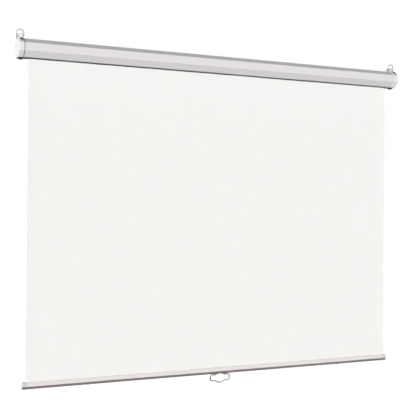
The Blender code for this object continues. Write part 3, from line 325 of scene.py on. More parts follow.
@dataclass(frozen=True)
class Extrusion(Finish):
    """Aluminium pressed through a die and then coated: fine straight lines along its length."""

    line: float = 0.5  # mm between die lines
    streak: float = 1.0  # m, how long a line runs before it fades
    dimming: float = 0.0  # share that is taken from the light that it throws on

    def dress(self, tree, shader, place) -> None:
        """Adds the die lines and slow changes of tone along the length.

        Args:
            tree: the material's node tree.
            shader: its Principled BSDF.
            place: the socket with object coordinates.
        """
        stretched = add_node(
            tree,
            "ShaderNodeMapping",
            {"Scale": (1 / self.streak, per(self.line), per(self.line))},
            {"Vector": place},
        )
        lines = add_node(
            tree,
            "ShaderNodeTexNoise",
            {"Scale": 1.0, "Detail": 2.0},
            {"Vector": stretched.outputs["Vector"]},
        )
        cloud = add_node(
            tree, "ShaderNodeTexNoise", {"Scale": per(45.0), "Detail": 2.0}, {"Vector": place}
        )
        self.vary(tree, shader, cloud.outputs["Fac"], lines.outputs["Fac"], 0.00005, 0.2, 0.04)
        share = add_node(tree, "ShaderNodeValue")
        share.outputs[0].default_value = self.dimming
        self.dim_bounce(tree, shader, share.outputs[0])


@dataclass(frozen=True)
class DullBlack(Finish):
    """Black-oxided steel or dark rubber: nearly black, with a dusty, broken polish."""

    speck: float = 0.9  # mm

    def dress(self, tree, shader, place) -> None:
        """Adds the dust and the fine pitting.

        Args:
            tree: the material's node tree.
            shader: its Principled BSDF.
            place: the socket with object coordinates.
        """
        dust = add_node(
            tree,
            "ShaderNodeTexNoise",
            {"Scale": per(4 * self.speck), "Detail": 5.0, "Roughness": 0.6},
            {"Vector": place},
        )
        pits = add_node(
            tree, "ShaderNodeTexNoise", {"Scale": per(self.speck), "Detail": 3.0}, {"Vector": place}
        )
        self.vary(tree, shader, dust.outputs["Fac"], pits.outputs["Fac"], 0.00006, 0.25, 0.08)


@dataclass(frozen=True)
class TurnedWood(Finish):
    """A beech dowel: pale brown, with grain and short flecks along its length."""

    grain: float = 1.4  # mm

    def dress(self, tree, shader, place) -> None:
        """Adds the grain and the flecks.

        Args:
            tree: the material's node tree.
            shader: its Principled BSDF.
            place: the socket with object coordinates.
        """
        along = add_node(
            tree, "ShaderNodeMapping", {"Scale": (0.06, 1.0, 1.0)}, {"Vector": place}
        )
        grain = add_node(
            tree,
            "ShaderNodeTexNoise",
            {"Scale": per(self.grain), "Detail": 4.0},
            {"Vector": along.outputs["Vector"]},
        )
        fleck = add_node(
            tree,
            "ShaderNodeTexNoise",
            {"Scale": per(0.5), "Detail": 1.0},
            {"Vector": along.outputs["Vector"]},
        )
        self.vary(tree, shader, grain.outputs["Fac"], fleck.outputs["Fac"], 0.00008, 0.3, 0.05)


@dataclass(frozen=True)
class ScreenCloth(Finish):
    """Woven polyester under matt white vinyl: dead flat white, with the threads just to be felt."""

    thread: float = 0.9  # mm, about twice the real spacing, so that it shows from near by
    mottle: float = 55.0  # mm
    dim_from: float = -0.45  # m, height where the cloth starts to throw less light back
    dim_to: float = -0.12  # m, height from which it throws hardly any up under the case

    def dress(self, tree, shader, place) -> None:
        """Adds the threads across and along, and the faint mottling of the coat.

        Args:
            tree: the material's node tree.
            shader: its Principled BSDF.
            place: the socket with object coordinates.
        """
        weft, warp = (
            add_node(
                tree,
                "ShaderNodeTexWave",
                {"Scale": bands(self.thread), "Distortion": 0.6, "Detail": 1.0, "Detail Scale": 2.0},
                {"Vector": place},
                bands_direction=axis,
            )
            for axis in ("X", "Z")
        )
        weave = add_node(
            tree,
            "ShaderNodeMath",
            links={0: weft.outputs["Fac"], 1: warp.outputs["Fac"]},
            operation="MAXIMUM",
        )
        mottle = add_node(
            tree, "ShaderNodeTexNoise", {"Scale": per(self.mottle), "Detail": 3.0}, {"Vector": place}
        )
        self.vary(tree, shader, mottle.outputs["Fac"], weave.outputs["Value"], 0.00006, 0.18, 0.03)
        height = add_node(tree, "ShaderNodeSeparateXYZ", links={0: place}).outputs["Z"]
        near = add_node(
            tree, "ShaderNodeMapRange", {"From Min": self.dim_from, "From Max": self.dim_to}, {"Value": height}
        )
        self.dim_bounce(tree, shader, near.outputs["Result"])


ENAMEL = BakedEnamel("baked_white_enamel", "enamelled_case_sheet", "#E6E3E3", "#E1DEDE", 0.42)
CAP_PLASTIC = MouldedPlastic("moulded_cap_abs", "moulded_cap_plastic", "#EBEBEA", "#E6E6E5", 0.6)
SLAT_CAP_PLASTIC = MouldedPlastic("moulded_slat_cap_abs", "moulded_slat_cap", "#D6D6D4", "#CECECC", 0.5)
SLAT_COAT = Extrusion("coated_slat_aluminium", "enamelled_case_sheet", "#E9E4E2", "#E4DFDD", 0.42, dimming=0.85)
RAIL_PAINT = Extrusion("grey_painted_rail", "dark_rail_paint", "#817A78", "#797270", 0.46)
ZINC = PlatedSteel("bright_zinc_plate", "zinc_plated_steel", "#EEEEED", "#DADBDC", 0.3, 1.0)
RING_WIRE = PlatedSteel("zinc_plated_ring_wire", "zinc_plated_steel", "#D8D8D9", "#C4C5C7", 0.3, 1.0)
HANDLE_PLATE = PlatedSteel("nickel_plated_wire", "plated_handle_wire", "#D2D2D4", "#C2C2C4", 0.34, 1.0)
BRIGHT_STEEL = PlatedSteel("ground_bright_steel", "bright_steel", "#C6C6C5", "#B2B2B2", 0.27, 1.0)
SPRING_STEEL = PlatedSteel("oiled_spring_steel", "spring_steel", "#77767A", "#5C5B60", 0.33, 1.0)
BLACK_SCREW = DullBlack("black_oxided_steel", "black_screw", "#1E1E20", "#333335", 0.42)
FOOT_RUBBER = DullBlack("moulded_dark_rubber", "dark_rubber", "#2E2E30", "#3E3E40", 0.72, speck=1.4)
NYLON = MouldedPlastic("natural_nylon", "natural_nylon", "#E6E1D3", "#DDD6C4", 0.44, ior=1.53)
DOWEL = TurnedWood("beech_dowel", "wooden_rod", "#CDA87A", "#B18A5C", 0.62)
CLOTH = ScreenCloth("matt_white_screen_cloth", "white_screen_fabric", "#F3F2F0", "#F0EFED", 0.93)


# Shapes


def parts(geometry: Iterable, kind: type) -> list:
    """The members of an operator's result that are of one kind."""
    return [part for part in geometry if isinstance(part, kind)]


def prism(section: Sequence[Point], low: float, high: float) -> Shape:
    """A solid whose section in the YZ plane runs along X.

    Args:
        section: the (y, z) corners, in order.
        low: where it starts along X.
        high: where it ends.

    Returns:
        The closed shape.
    """
    shape = bmesh.new()
    face = shape.faces.new([shape.verts.new((low, y, z)) for y, z in section])
    grown = bmesh.ops.extrude_face_region(shape, geom=[face], use_keep_orig=True)["geom"]
    bmesh.ops.translate(shape, vec=(high - low, 0, 0), verts=parts(grown, Vert))
    return shape


def block(low: Sequence[float], high: Sequence[float]) -> Shape:
    """A block between two corners.

    Args:
        low: its lowest corner.
        high: its highest corner.

    Returns:
        The closed shape.
    """
    low, high = Vector(low), Vector(high)
    shape = bmesh.new()
    bmesh.ops.create_cube(shape, size=1.0)
    bmesh.ops.scale(shape, vec=high - low, verts=shape.verts)
    bmesh.ops.translate(shape, vec=(low + high) / 2, verts=shape.verts)
    return shape


def rounded(shape: Shape, chosen: Callable[[Edge], bool], size: float, steps: int = 4) -> Shape:
    """Rounds the sharp edges that chosen() picks.

    Args:
        shape: the shape, which is changed.
        chosen: says whether an edge is to be rounded.
        size: how far from the edge the rounding starts, in metres.
        steps: how many faces it has across.

    Returns:
        The same shape.
    """
    edges = [e for e in shape.edges if e.calc_face_angle(0.0) > SHARP and chosen(e)]
    bmesh.ops.bevel(
        shape,
        geom=edges,
        offset=size,
        segments=steps,
        profile=0.5,
        affect="EDGES",
        material=-1,
        clamp_overlap=True,
    )
    return shape


def any_edge(_: Edge) -> bool:
    """Picks every sharp edge."""
    return True


def runs_along_x(edge: Edge) -> bool:
    """Whether an edge runs along the case."""
    a, b = (v.co for v in edge.verts)
    return abs(a.x - b.x) > 0.999 * (a - b).length


def turned(profile: Sequence[Point], base: Vector, axis: Vector, steps: int = 40) -> Shape:
    """A shape turned about an axis.

    Args:
        profile: (distance along the axis, radius) of each corner, from one end on the axis to the other.
        base: the point on the axis that distances are measured from.
        axis: the direction of the axis.
        steps: how many faces go round.

    Returns:
        The closed shape.
    """
    shape = bmesh.new()
    row = [shape.verts.new((radius, 0, along)) for along, radius in profile]
    edges = [shape.edges.new(pair) for pair in zip(row, row[1:])]
    bmesh.ops.spin(
        shape,
        geom=row + edges,
        cent=(0, 0, 0),
        axis=(0, 0, 1),
        angle=2 * math.pi,
        steps=steps,
        use_merge=True,
    )
    bmesh.ops.remove_doubles(shape, verts=shape.verts, dist=TINY)
    turn = Vector((0, 0, 1)).rotation_difference(axis).to_matrix().to_4x4()
    bmesh.ops.transform(shape, matrix=Matrix.Translation(base) @ turn, verts=shape.verts)
    return shape


def bent_wire(corners: Sequence[Vector], radii: Sequence[float], radius: float, sides: int = 16) -> Shape:
    """A round wire bent at each inner corner.

    Args:
        corners: the corners of its middle line, with its two ends.
        radii: the bend's radius at each inner corner.
        radius: the wire's own radius.
        sides: how many faces go round the wire.

    Returns:
        The closed shape.
    """
    shape = bmesh.new()
    bmesh.ops.create_circle(shape, cap_ends=False, radius=radius, segments=sides)
    start = (corners[1] - corners[0]).normalized()
    turn = Vector((0, 0, 1)).rotation_difference(start).to_matrix().to_4x4()
    bmesh.ops.transform(shape, matrix=Matrix.Translation(corners[0]) @ turn, verts=shape.verts)
    ring, here = list(shape.edges), corners[0]

    def push(edges: list[Edge], way: Vector) -> list[Edge]:
        """Draws the wire's open end straight on."""
        grown = bmesh.ops.extrude_edge_only(shape, edges=edges)["geom"]
        bmesh.ops.translate(shape, vec=way, verts=parts(grown, Vert))
        return parts(grown, Edge)

    for before, corner, after, bend in zip(corners, corners[1:], corners[2:], radii):
        back, forth = (before - corner).normalized(), (after - corner).normalized()
        half = back.angle(forth) / 2
        reach = bend / math.tan(half)
        straight = corner + back * reach - here
        ends = push(ring, straight) if straight.length > TINY else ring
        open_end = [e for e in ends if is_open_at(e, here + straight, straight)]
        angle = math.pi - 2 * half
        made = bmesh.ops.spin(
            shape,
            geom=with_ends(open_end),
            cent=corner + (back + forth).normalized() * bend / math.sin(half),
            axis=(-back).cross(forth).normalized(),
            angle=angle,
            steps=max(3, round(angle / math.radians(9))),
            use_merge=False,
        )
        ring = parts(made["geom_last"], Edge)
        here = corner + forth * reach
    push(ring, corners[-1] - here)
    bmesh.ops.remove_doubles(shape, verts=shape.verts, dist=TINY)
    bmesh.ops.holes_fill(shape, edges=shape.edges, sides=0)
    rims = [e for e in shape.edges if any(len(f.verts) == sides for f in e.link_faces)]
    bmesh.ops.bevel(
        shape, geom=rims, offset=radius * 0.25, segments=2, profile=0.5, affect="EDGES", material=-1
    )
    return shape


def with_ends(edges: list[Edge]) -> list:
    """Some edges with their vertices, each once."""
    return edges + list({v for e in edges for v in e.verts})


def is_open_at(edge: Edge, place: Vector, way: Vector) -> bool:
    """Whether an edge lies in the plane through a place and square to a direction."""
    return all(abs((v.co - place).dot(way.normalized())) < 1e-5 for v in edge.verts)


def folded_strip(path: Sequence[Point], low: float, high: float, bend: float) -> Shape:
    """A sheet whose outer face follows a path in the YZ plane, folded with one radius, along X.

    Args:
        path: the (y, z) corners of the outer face.
        low: where it starts along X.
        high: where it ends.
        bend: the radius of its outer face at each fold.

    Returns:
        The open sheet, without its thickness.
    """
    shape = bmesh.new()
    row = [shape.verts.new((low, y, z)) for y, z in path]
    edges = [shape.edges.new(pair) for pair in zip(row, row[1:])]
    swept = bmesh.ops.extrude_edge_only(shape, edges=edges)["geom"]
    bmesh.ops.translate(shape, vec=(high - low, 0, 0), verts=parts(swept, Vert))
    for fold in [e for e in shape.edges if len(e.link_faces) == 2]:
        bmesh.ops.bevel(
            shape,
            geom=[fold],
            offset=bend * math.tan(fold.calc_face_angle() / 2),
            segments=6,
            profile=0.5,
            affect="EDGES",
            material=-1,
        )
    return shape


def mirrored(shape: Shape, side: Side) -> Shape:
    """Turns a right-hand shape into the one for a side."""
    bmesh.ops.scale(shape, vec=(side.value, 1, 1), verts=shape.verts)
    return shape


def merged(*shapes: Shape) -> Shape:
    """Puts several closed shapes in one mesh."""
    whole = bmesh.new()
    for shape in shapes:
        carrier = bpy.data.meshes.new("carrier")
        shape.to_mesh(carrier)
        shape.free()
        whole.from_mesh(carrier)
        bpy.data.meshes.remove(carrier)
    return whole


def carved(shape: Shape, *cutters: Shape) -> Shape:
    """Cuts shapes out of another, as a drill or a saw does after the piece is formed.

    Args:
        shape: the closed shape.
        *cutters: the closed shapes to take away.

    Returns:
        The cut shape.
    """
    holders = []
    for number, made in enumerate((shape, *cutters)):
        bmesh.ops.recalc_face_normals(made, faces=made.faces)
        mesh = bpy.data.meshes.new("carving")
        made.to_mesh(mesh)
        made.free()
        holder = bpy.data.objects.new(f"carving_{number}", mesh)
        bpy.context.scene.collection.objects.link(holder)
        holders.append(holder)
    for cutter in holders[1:]:
        modifier = holders[0].modifiers.new("cut", "BOOLEAN")
        modifier.operation, modifier.solver, modifier.object = "DIFFERENCE", "EXACT", cutter
    graph = bpy.context.evaluated_depsgraph_get()
    result = bmesh.new()
    result.from_object(holders[0], graph)
    for holder in holders:
        mesh = holder.data
        bpy.data.objects.remove(holder, do_unlink=True)
        bpy.data.meshes.remove(mesh)
    return result


def piece(name: str, shape: Shape, finish: Finish, body: str, *nodes: str):
    """Makes a finished piece of a shape, dressed and riding on its body.

    Args:
        name: the piece's name.
        shape: its shape, in the frame's coordinates.
        finish: its finish.
        body: the CAD body that it moves with.
        *nodes: the CAD nodes that it stands for.

    Returns:
        The object.
    """
    bmesh.ops.remove_doubles(shape, verts=shape.verts, dist=TINY)
    bmesh.ops.recalc_face_normals(shape, faces=shape.faces)
    gaps = sum(len(e.link_faces) != 2 for e in shape.edges)
    if gaps:
        LOG.warning("%s has %d open edges", name, gaps)
    mesh = bpy.data.meshes.new(name)
    shape.to_mesh(mesh)
    shape.free()
    mesh.materials.append(finish.make())
    mesh.shade_smooth()
    mesh.set_sharp_from_angle(angle=SHARP)
    obj = bpy.data.objects.new(name, mesh)
    bpy.context.scene.collection.objects.link(obj)
    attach(obj, body)
    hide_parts(*nodes)
    LOG.info("%s: %d faces on %s", name, len(mesh.polygons), body)
    return obj


def flatten_shading(obj) -> None:
    """Keeps the flat faces of a piece flat where a rounded edge meets them."""
    obj.modifiers.new("face_weights", "WEIGHTED_NORMAL").keep_sharp = True


def dress_node(node: str, finish: Finish) -> None:
    """Gives a CAD node that stays in sight a finish of its own."""
    obj = frame["nodes"][node]
    obj.data.materials.clear()
    obj.data.materials.append(finish.make())
    LOG.info("%s: kept, dressed in %s", node, finish.name)


def pan_head_screw(
    seat: Vector, inwards: Vector, head: float, height: float, shank: float, depth: float
) -> Shape:
    """A pan-head screw with a cross recess.

    Args:
        seat: where the underside of its head rests.
        inwards: the direction in which it is driven.
        head: the head's radius.
        height: the head's height.
        shank: the shank's radius.
        depth: how far the shank runs in from the seat.

    Returns:
        The closed shape.
    """
    recess, arm, floor = head * 0.5, head * 0.11, height * 0.55
    profile = [
        (-height, 0.0),
        (-height, recess),
        (-height, head * 0.62),
        (-height * 0.86, head * 0.84),
        (-height * 0.55, head * 0.96),
        (-height * 0.2, head),
        (0.0, head * 0.985),
        (0.0, shank),
        (depth - shank, shank),
        (depth, shank * 0.35),
        (depth, 0.0),
    ]
    shape = turned(profile, Vector((0, 0, 0)), Vector((0, 0, 1)), 32)
    for across in (Vector((1, 0, 0)), Vector((0, 1, 0))):
        for side in (-1, 1):
            top = [f for f in shape.faces if f.calc_center_median().z < -height + TINY]
            around = top + list({e for f in top for e in f.edges}) + list({v for f in top for v in f.verts})
            bmesh.ops.bisect_plane(
                shape, geom=around, plane_co=across * side * arm, plane_no=across, dist=1e-7
            )
    cross = [
        f
        for f in shape.faces
        if f.calc_center_median().z < -height + TINY
        and f.calc_center_median().xy.length < recess
        and min(abs(f.calc_center_median().x), abs(f.calc_center_median().y)) < arm
    ]
    sunk = bmesh.ops.extrude_face_region(shape, geom=cross)["geom"]
    bmesh.ops.delete(shape, geom=[f for f in cross if f.is_valid], context="FACES")
    bmesh.ops.translate(shape, vec=(0, 0, floor), verts=parts(sunk, Vert))
    turn = Vector((0, 0, 1)).rotation_difference(inwards).to_matrix().to_4x4()
    bmesh.ops.transform(shape, matrix=Matrix.Translation(seat) @ turn, verts=shape.verts)
    return shape


# Sub-assemblies


@dataclass
class Case:
    """The folded sheet case, with its end caps, their feet and the screws from below."""

    depth: float = 0.074
    height: float = 0.0725
    wall: float = 0.0009
    bend: float = 0.0018
    back_chamfer: float = 0.005
    top_rise: float = 0.0182
    top_run: float = 0.023
    lower_rise: float = 0.0232
    lower_run: float = 0.022
    front_lip_y: float = -0.03989
    back_lip_y: float = -0.01989
    lip: float = 0.003
    cap_proud: float = 0.0008
    cap_round: float = 0.0009
    groove: float = 0.0045  # depth of the seam, from the cap's face
    cap_end_wall: float = 0.003
    spigot_length: float = 0.012
    spigot_wall: float = 0.002
    seam: float = 0.003  # open groove between the shell and each cap
    undercut: float = 0.004  # how far the seam runs on under the shell's edge

    def outline(self, grow: float) -> list[Point]:
        """The case's closed section, grown outwards on every side, but not through the wall.

        Args:
            grow: how far each side moves outwards, in metres; inwards where it is negative.

        Returns:
            The (y, z) corners, from the back's lower edge upwards and round.
        """
        half, front = self.height / 2, -self.depth
        sides = [
            ((0.0, -half + self.back_chamfer), (0.0, half - self.back_chamfer)),
            ((0.0, half - self.back_chamfer), (-self.back_chamfer, half)),
            ((-self.back_chamfer, half), (front + self.top_run, half)),
            ((front + self.top_run, half), (front, half - self.top_rise)),
            ((front, half - self.top_rise), (front, -half + self.lower_rise)),
            ((front, -half + self.lower_rise), (front + self.lower_run, -half)),
            ((front + self.lower_run, -half), (-self.back_chamfer, -half)),
            ((-self.back_chamfer, -half), (0.0, -half + self.back_chamfer)),
        ]
        moved = []
        for start, end in sides:
            start, end = Vector(start), Vector(end)
            outwards = Vector((start.y - end.y, end.x - start.x)).normalized()
            if outwards.dot(start - Vector((front / 2, 0.0))) < 0:
                outwards = -outwards
            moved.append((start + outwards * grow, end - start))
        corners = []
        for (a, along), (b, other) in zip(moved[-1:] + moved[:-1], moved):
            point = a + along * ((b - a).cross(other) / along.cross(other))
            corners.append((min(point.x, 0.0) if grow > 0 else point.x, point.y))
        return corners

    def build(self) -> None:
        """Builds the shell, the caps, the feet and the cap screws."""
        self.build_shell()
        for side in Side:
            self.build_cap(side)
            self.build_foot(side)
            self.build_cap_screw(side)

    def build_shell(self) -> None:
        """Folds the sheet round from the slot's back lip to its front lip."""
        low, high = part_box("case_shell")
        outline, floor = self.outline(0.0), low.z
        path = [(self.back_lip_y, floor + self.lip), (self.back_lip_y, floor)]
        path += [outline[7], *outline[:7]]
        path += [(self.front_lip_y, floor), (self.front_lip_y, floor + self.lip)]
        sheet = folded_strip(path, low.x, high.x, self.bend)
        shape = thickened(sheet, self.wall, Vector((0, -self.depth / 2, 0)))
        flatten_shading(piece("case_shell_sheet", shape, ENAMEL, "case", "case_shell"))

    def build_cap(self, side: Side) -> None:
        """Moulds one cap: a cup with soft edges, a spigot in the shell and a tongue in the slot's end.

        Args:
            side: which end it closes.
        """
        _, shell_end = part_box("case_shell")
        cap_low, cap_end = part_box("end_cap_right")
        start = shell_end.x + self.seam
        cup = prism(self.outline(self.cap_proud), start, cap_end.x)

        def soft(edge: Edge) -> bool:
            """Picks the cap's outer edges, but not those at the seam or against the wall."""
            at_seam = all(v.co.x < start + TINY for v in edge.verts)
            at_wall = all(v.co.y > -TINY for v in edge.verts)
            return not at_seam and not at_wall

        rounded(cup, soft, self.cap_round, 7)
        inner = self.cap_proud - self.groove - self.spigot_wall
        cavity = prism(self.outline(inner), start - self.seam, cap_end.x - self.cap_end_wall)
        full = shell_end.x - self.undercut  # where the spigot fills the shell
        neck = self.tube(self.cap_proud - self.groove, inner + GAP, full - self.seam, start + GAP)
        spigot = self.tube(-self.wall - GAP, inner, shell_end.x - self.spigot_length, full)
        tongue = block(
            (cap_low.x, self.front_lip_y + GAP, -self.height / 2),
            (start + GAP, self.back_lip_y - GAP, -self.height / 2 + self.wall + GAP + self.spigot_wall),
        )
        cap = piece(
            side.named("moulded_end_cap"),
            mirrored(merged(carved(cup, cavity), neck, spigot, tongue), side),
            CAP_PLASTIC,
            "case",
            side.named("end_cap"),
        )
        flatten_shading(cap)

    def tube(self, outer: float, inner: float, low: float, high: float) -> Shape:
        """A wall that follows the case's section.

        Args:
            outer: how far the section is grown for its outside.
            inner: the same for its inside.
            low: where it starts along X.
            high: where it ends.

        Returns:
            The closed shape, open at both ends of the wall.
        """
        bore = prism(self.outline(inner), low - self.seam, high + self.seam)
        return carved(prism(self.outline(outer), low, high), bore)

    def build_foot(self, side: Side) -> None:
        """Moulds one foot, a block with a shallow dish underneath.

        Args:
            side: which cap it stands under.
        """
        low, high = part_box("foot_right")
        foot = block(low, high)
        under = min(foot.faces, key=lambda f: f.calc_center_median().z)
        bmesh.ops.scale(foot, vec=(0.94, 0.96, 1.0), verts=under.verts, space=centring(low, high))
        bmesh.ops.inset_region(foot, faces=[under], thickness=0.0028, use_even_offset=True)
        bmesh.ops.translate(foot, vec=(0, 0, 0.0012), verts=under.verts)
        rounded(foot, lambda e: all(v.co.z < high.z - TINY for v in e.verts), 0.0008, 3)
        shape = mirrored(foot, side)
        flatten_shading(piece(side.named("rubber_foot"), shape, FOOT_RUBBER, "case", side.named("foot")))

    def build_cap_screw(self, side: Side) -> None:
        """Turns the screw that holds one cap's spigot from below.

        Args:
            side: which cap it holds.
        """
        low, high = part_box("cap_screw_right")
        seat = Vector(((low.x + high.x) / 2, (low.y + high.y) / 2, -self.height / 2 - GAP))
        screw = pan_head_screw(seat, Vector((0, 0, 1)), 0.0032, 0.0018, 0.0015, high.z - seat.z)
        name = side.named("cap_screw")
        piece(side.named("pan_head_cap_screw"), mirrored(screw, side), ZINC, "case", name)


def centring(low: Vector, high: Vector) -> Matrix:
    """The space in which the middle of a box is the origin."""
    return Matrix.Translation(-(low + high) / 2)


@dataclass
class Hanger:
    """One hanger: a bent bracket screwed to the cap's facet, and the wire ring that swings in it."""

    side: Side
    plate: float = 0.0015
    bend: float = 0.0024
    corner: float = 0.007
    foot_length: float = 0.018
    foot_width: float = 0.014
    facet_down: tuple[float, float, float] = (0.0, -0.7842, -0.6205)
    facet_out: tuple[float, float, float] = (0.0, -0.6205, 0.7842)
    facet_edge_y: float = -0.051
    case_top: float = 0.03625
    lift: float = 0.0011  # of the foot over the shell: the cap stands proud of it, and the gap
    screw_down: float = 0.0105
    screw_head: float = 0.0038
    screw_height: float = 0.0020
    wire: float = 0.0016
    wire_bend: float = 0.0030
    pin_reach: float = 0.0035

    def build(self) -> None:
        """Builds the bracket, its screw and the ring."""
        self.build_bracket()
        self.build_screw()
        self.build_ring()

    def facet_point(self, lift: float, down: float) -> Vector:
        """A point over the top facet.

        Args:
            lift: its height over the shell's facet.
            down: how far down the facet it lies.

        Returns:
            The point, with an X of 0.
        """
        share = (1 - self.facet_out[2]) / self.facet_out[1]
        edge = Vector((0, self.facet_edge_y + share * lift, self.case_top + lift))
        return edge + Vector(self.facet_down) * down

    def pivot(self) -> Vector:
        """The middle of the right-hand ring's axis."""
        low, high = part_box("hanger_ring_right")
        return Vector(((low.x + high.x) / 2, (low.y + high.y) / 2, low.z + self.wire))

    def build_bracket(self) -> None:
        """Bends the bracket: a web, two wings with round corners, and a foot down the facet."""
        low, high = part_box("hanger_bracket_right")
        web_y = -0.0415
        seat_z = self.case_top + self.lift
        channel = [
            (low.x, high.y),
            (low.x, web_y),
            (high.x, web_y),
            (high.x, high.y),
        ]
        shape = folded_strip(channel, seat_z, high.z, self.bend)
        stand = Matrix(((0, 1, 0, 0), (0, 0, 1, 0), (1, 0, 0, 0), (0, 0, 0, 1)))
        bmesh.ops.transform(shape, matrix=stand, verts=shape.verts)
        tips = [v for v in shape.verts if v.co.y > high.y - TINY and v.co.z > high.z - TINY]
        bmesh.ops.bevel(
            shape,
            geom=tips,
            offset=self.corner,
            segments=7,
            profile=0.5,
            affect="VERTICES",
            material=-1,
        )
        channel_solid = thickened(shape, self.plate, Vector(((low.x + high.x) / 2, high.y, high.z)))
        middle = (low.x + high.x) / 2
        edge = self.facet_point(self.lift + self.plate, 0.0)
        toe = self.facet_point(self.lift + self.plate, self.foot_length)
        foot_path = [(web_y + self.plate * 0.6, edge.z), (edge.y, edge.z), (toe.y, toe.z)]
        half = self.foot_width / 2
        foot = folded_strip(foot_path, middle - half, middle + half, self.bend)
        tips = [v for v in foot.verts if v.co.y < toe.y + TINY]
        bmesh.ops.bevel(
            foot, geom=tips, offset=0.0045, segments=6, profile=0.5, affect="VERTICES", material=-1
        )
        foot_solid = thickened(foot, self.plate, Vector((middle, -0.04, 0.0)))
        hinge, wide = self.pivot(), Vector((0.03, 0, 0))
        hole = turned(
            [(0.0, 0.0), (0.0, self.wire + GAP), (0.06, self.wire + GAP), (0.06, 0.0)],
            hinge - wide,
            Vector((1, 0, 0)),
            28,
        )
        whole = merged(carved(channel_solid, hole), foot_solid)
        name = self.side.named("hanger_bracket")
        bracket = piece(self.side.named("bent_hanger_bracket"), mirrored(whole, self.side), ZINC, "case", name)
        edges = bracket.modifiers.new("edges", "BEVEL")
        edges.width, edges.segments, edges.limit_method = 0.0002, 2, "ANGLE"
        edges.angle_limit = math.radians(50)
        flatten_shading(bracket)

    def build_screw(self) -> None:
        """Turns the dark screw that holds the foot to the cap."""
        low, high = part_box("hanger_screw_right")
        seat = self.facet_point(self.lift + self.plate + GAP, self.screw_down)
        seat.x = (low.x + high.x) / 2
        inwards = -Vector(self.facet_out)
        screw = pan_head_screw(seat, inwards, self.screw_head, self.screw_height, 0.0015, 0.0062)
        name = self.side.named("hanger_screw")
        piece(self.side.named("pan_head_hanger_screw"), mirrored(screw, self.side), BLACK_SCREW, "case", name)

    def build_ring(self) -> None:
        """Bends the ring: two pins in the wings, two legs and a half-round top."""
        low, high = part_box("hanger_ring_right")
        bracket_low, bracket_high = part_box("hanger_bracket_right")
        pivot = self.pivot()
        leg = (high.x - low.x) / 2 - self.wire
        pin = (bracket_high.x - bracket_low.x) / 2 - self.plate - self.pin_reach
        arch_z = high.z - self.wire - leg
        steep = leg * 0.999
        corners = [
            pivot + Vector((pin, 0, 0)),
            pivot + Vector((leg, 0, 0)),
            Vector((pivot.x + leg, pivot.y, arch_z + leg)),
            Vector((pivot.x - leg, pivot.y, arch_z + leg)),
            pivot + Vector((-leg, 0, 0)),
            pivot + Vector((-pin, 0, 0)),
        ]
        radii = [self.wire_bend, steep, steep, self.wire_bend]
        ring = bent_wire(corners, radii, self.wire)
        name = self.side.named("hanger_ring")
        body = self.side.named("ring")
        piece(self.side.named("wire_hanger_ring"), mirrored(ring, self.side), RING_WIRE, body, name)


def thickened(shape: Shape, wall: float, inside: Vector) -> Shape:
    """Gives a folded sheet its thickness, towards its inner side.

    Args:
        shape: the open sheet.
        wall: its thickness.
        inside: a point on the inner side of its first face.

    Returns:
        The closed shape.
    """
    bmesh.ops.recalc_face_normals(shape, faces=shape.faces)
    shape.faces.ensure_lookup_table()
    face = max(shape.faces, key=lambda f: f.calc_area())
    outwards = face.normal.dot(face.calc_center_median() - inside) > 0
    bmesh.ops.solidify(shape, geom=shape.faces[:], thickness=wall if outwards else -wall)
    return shape


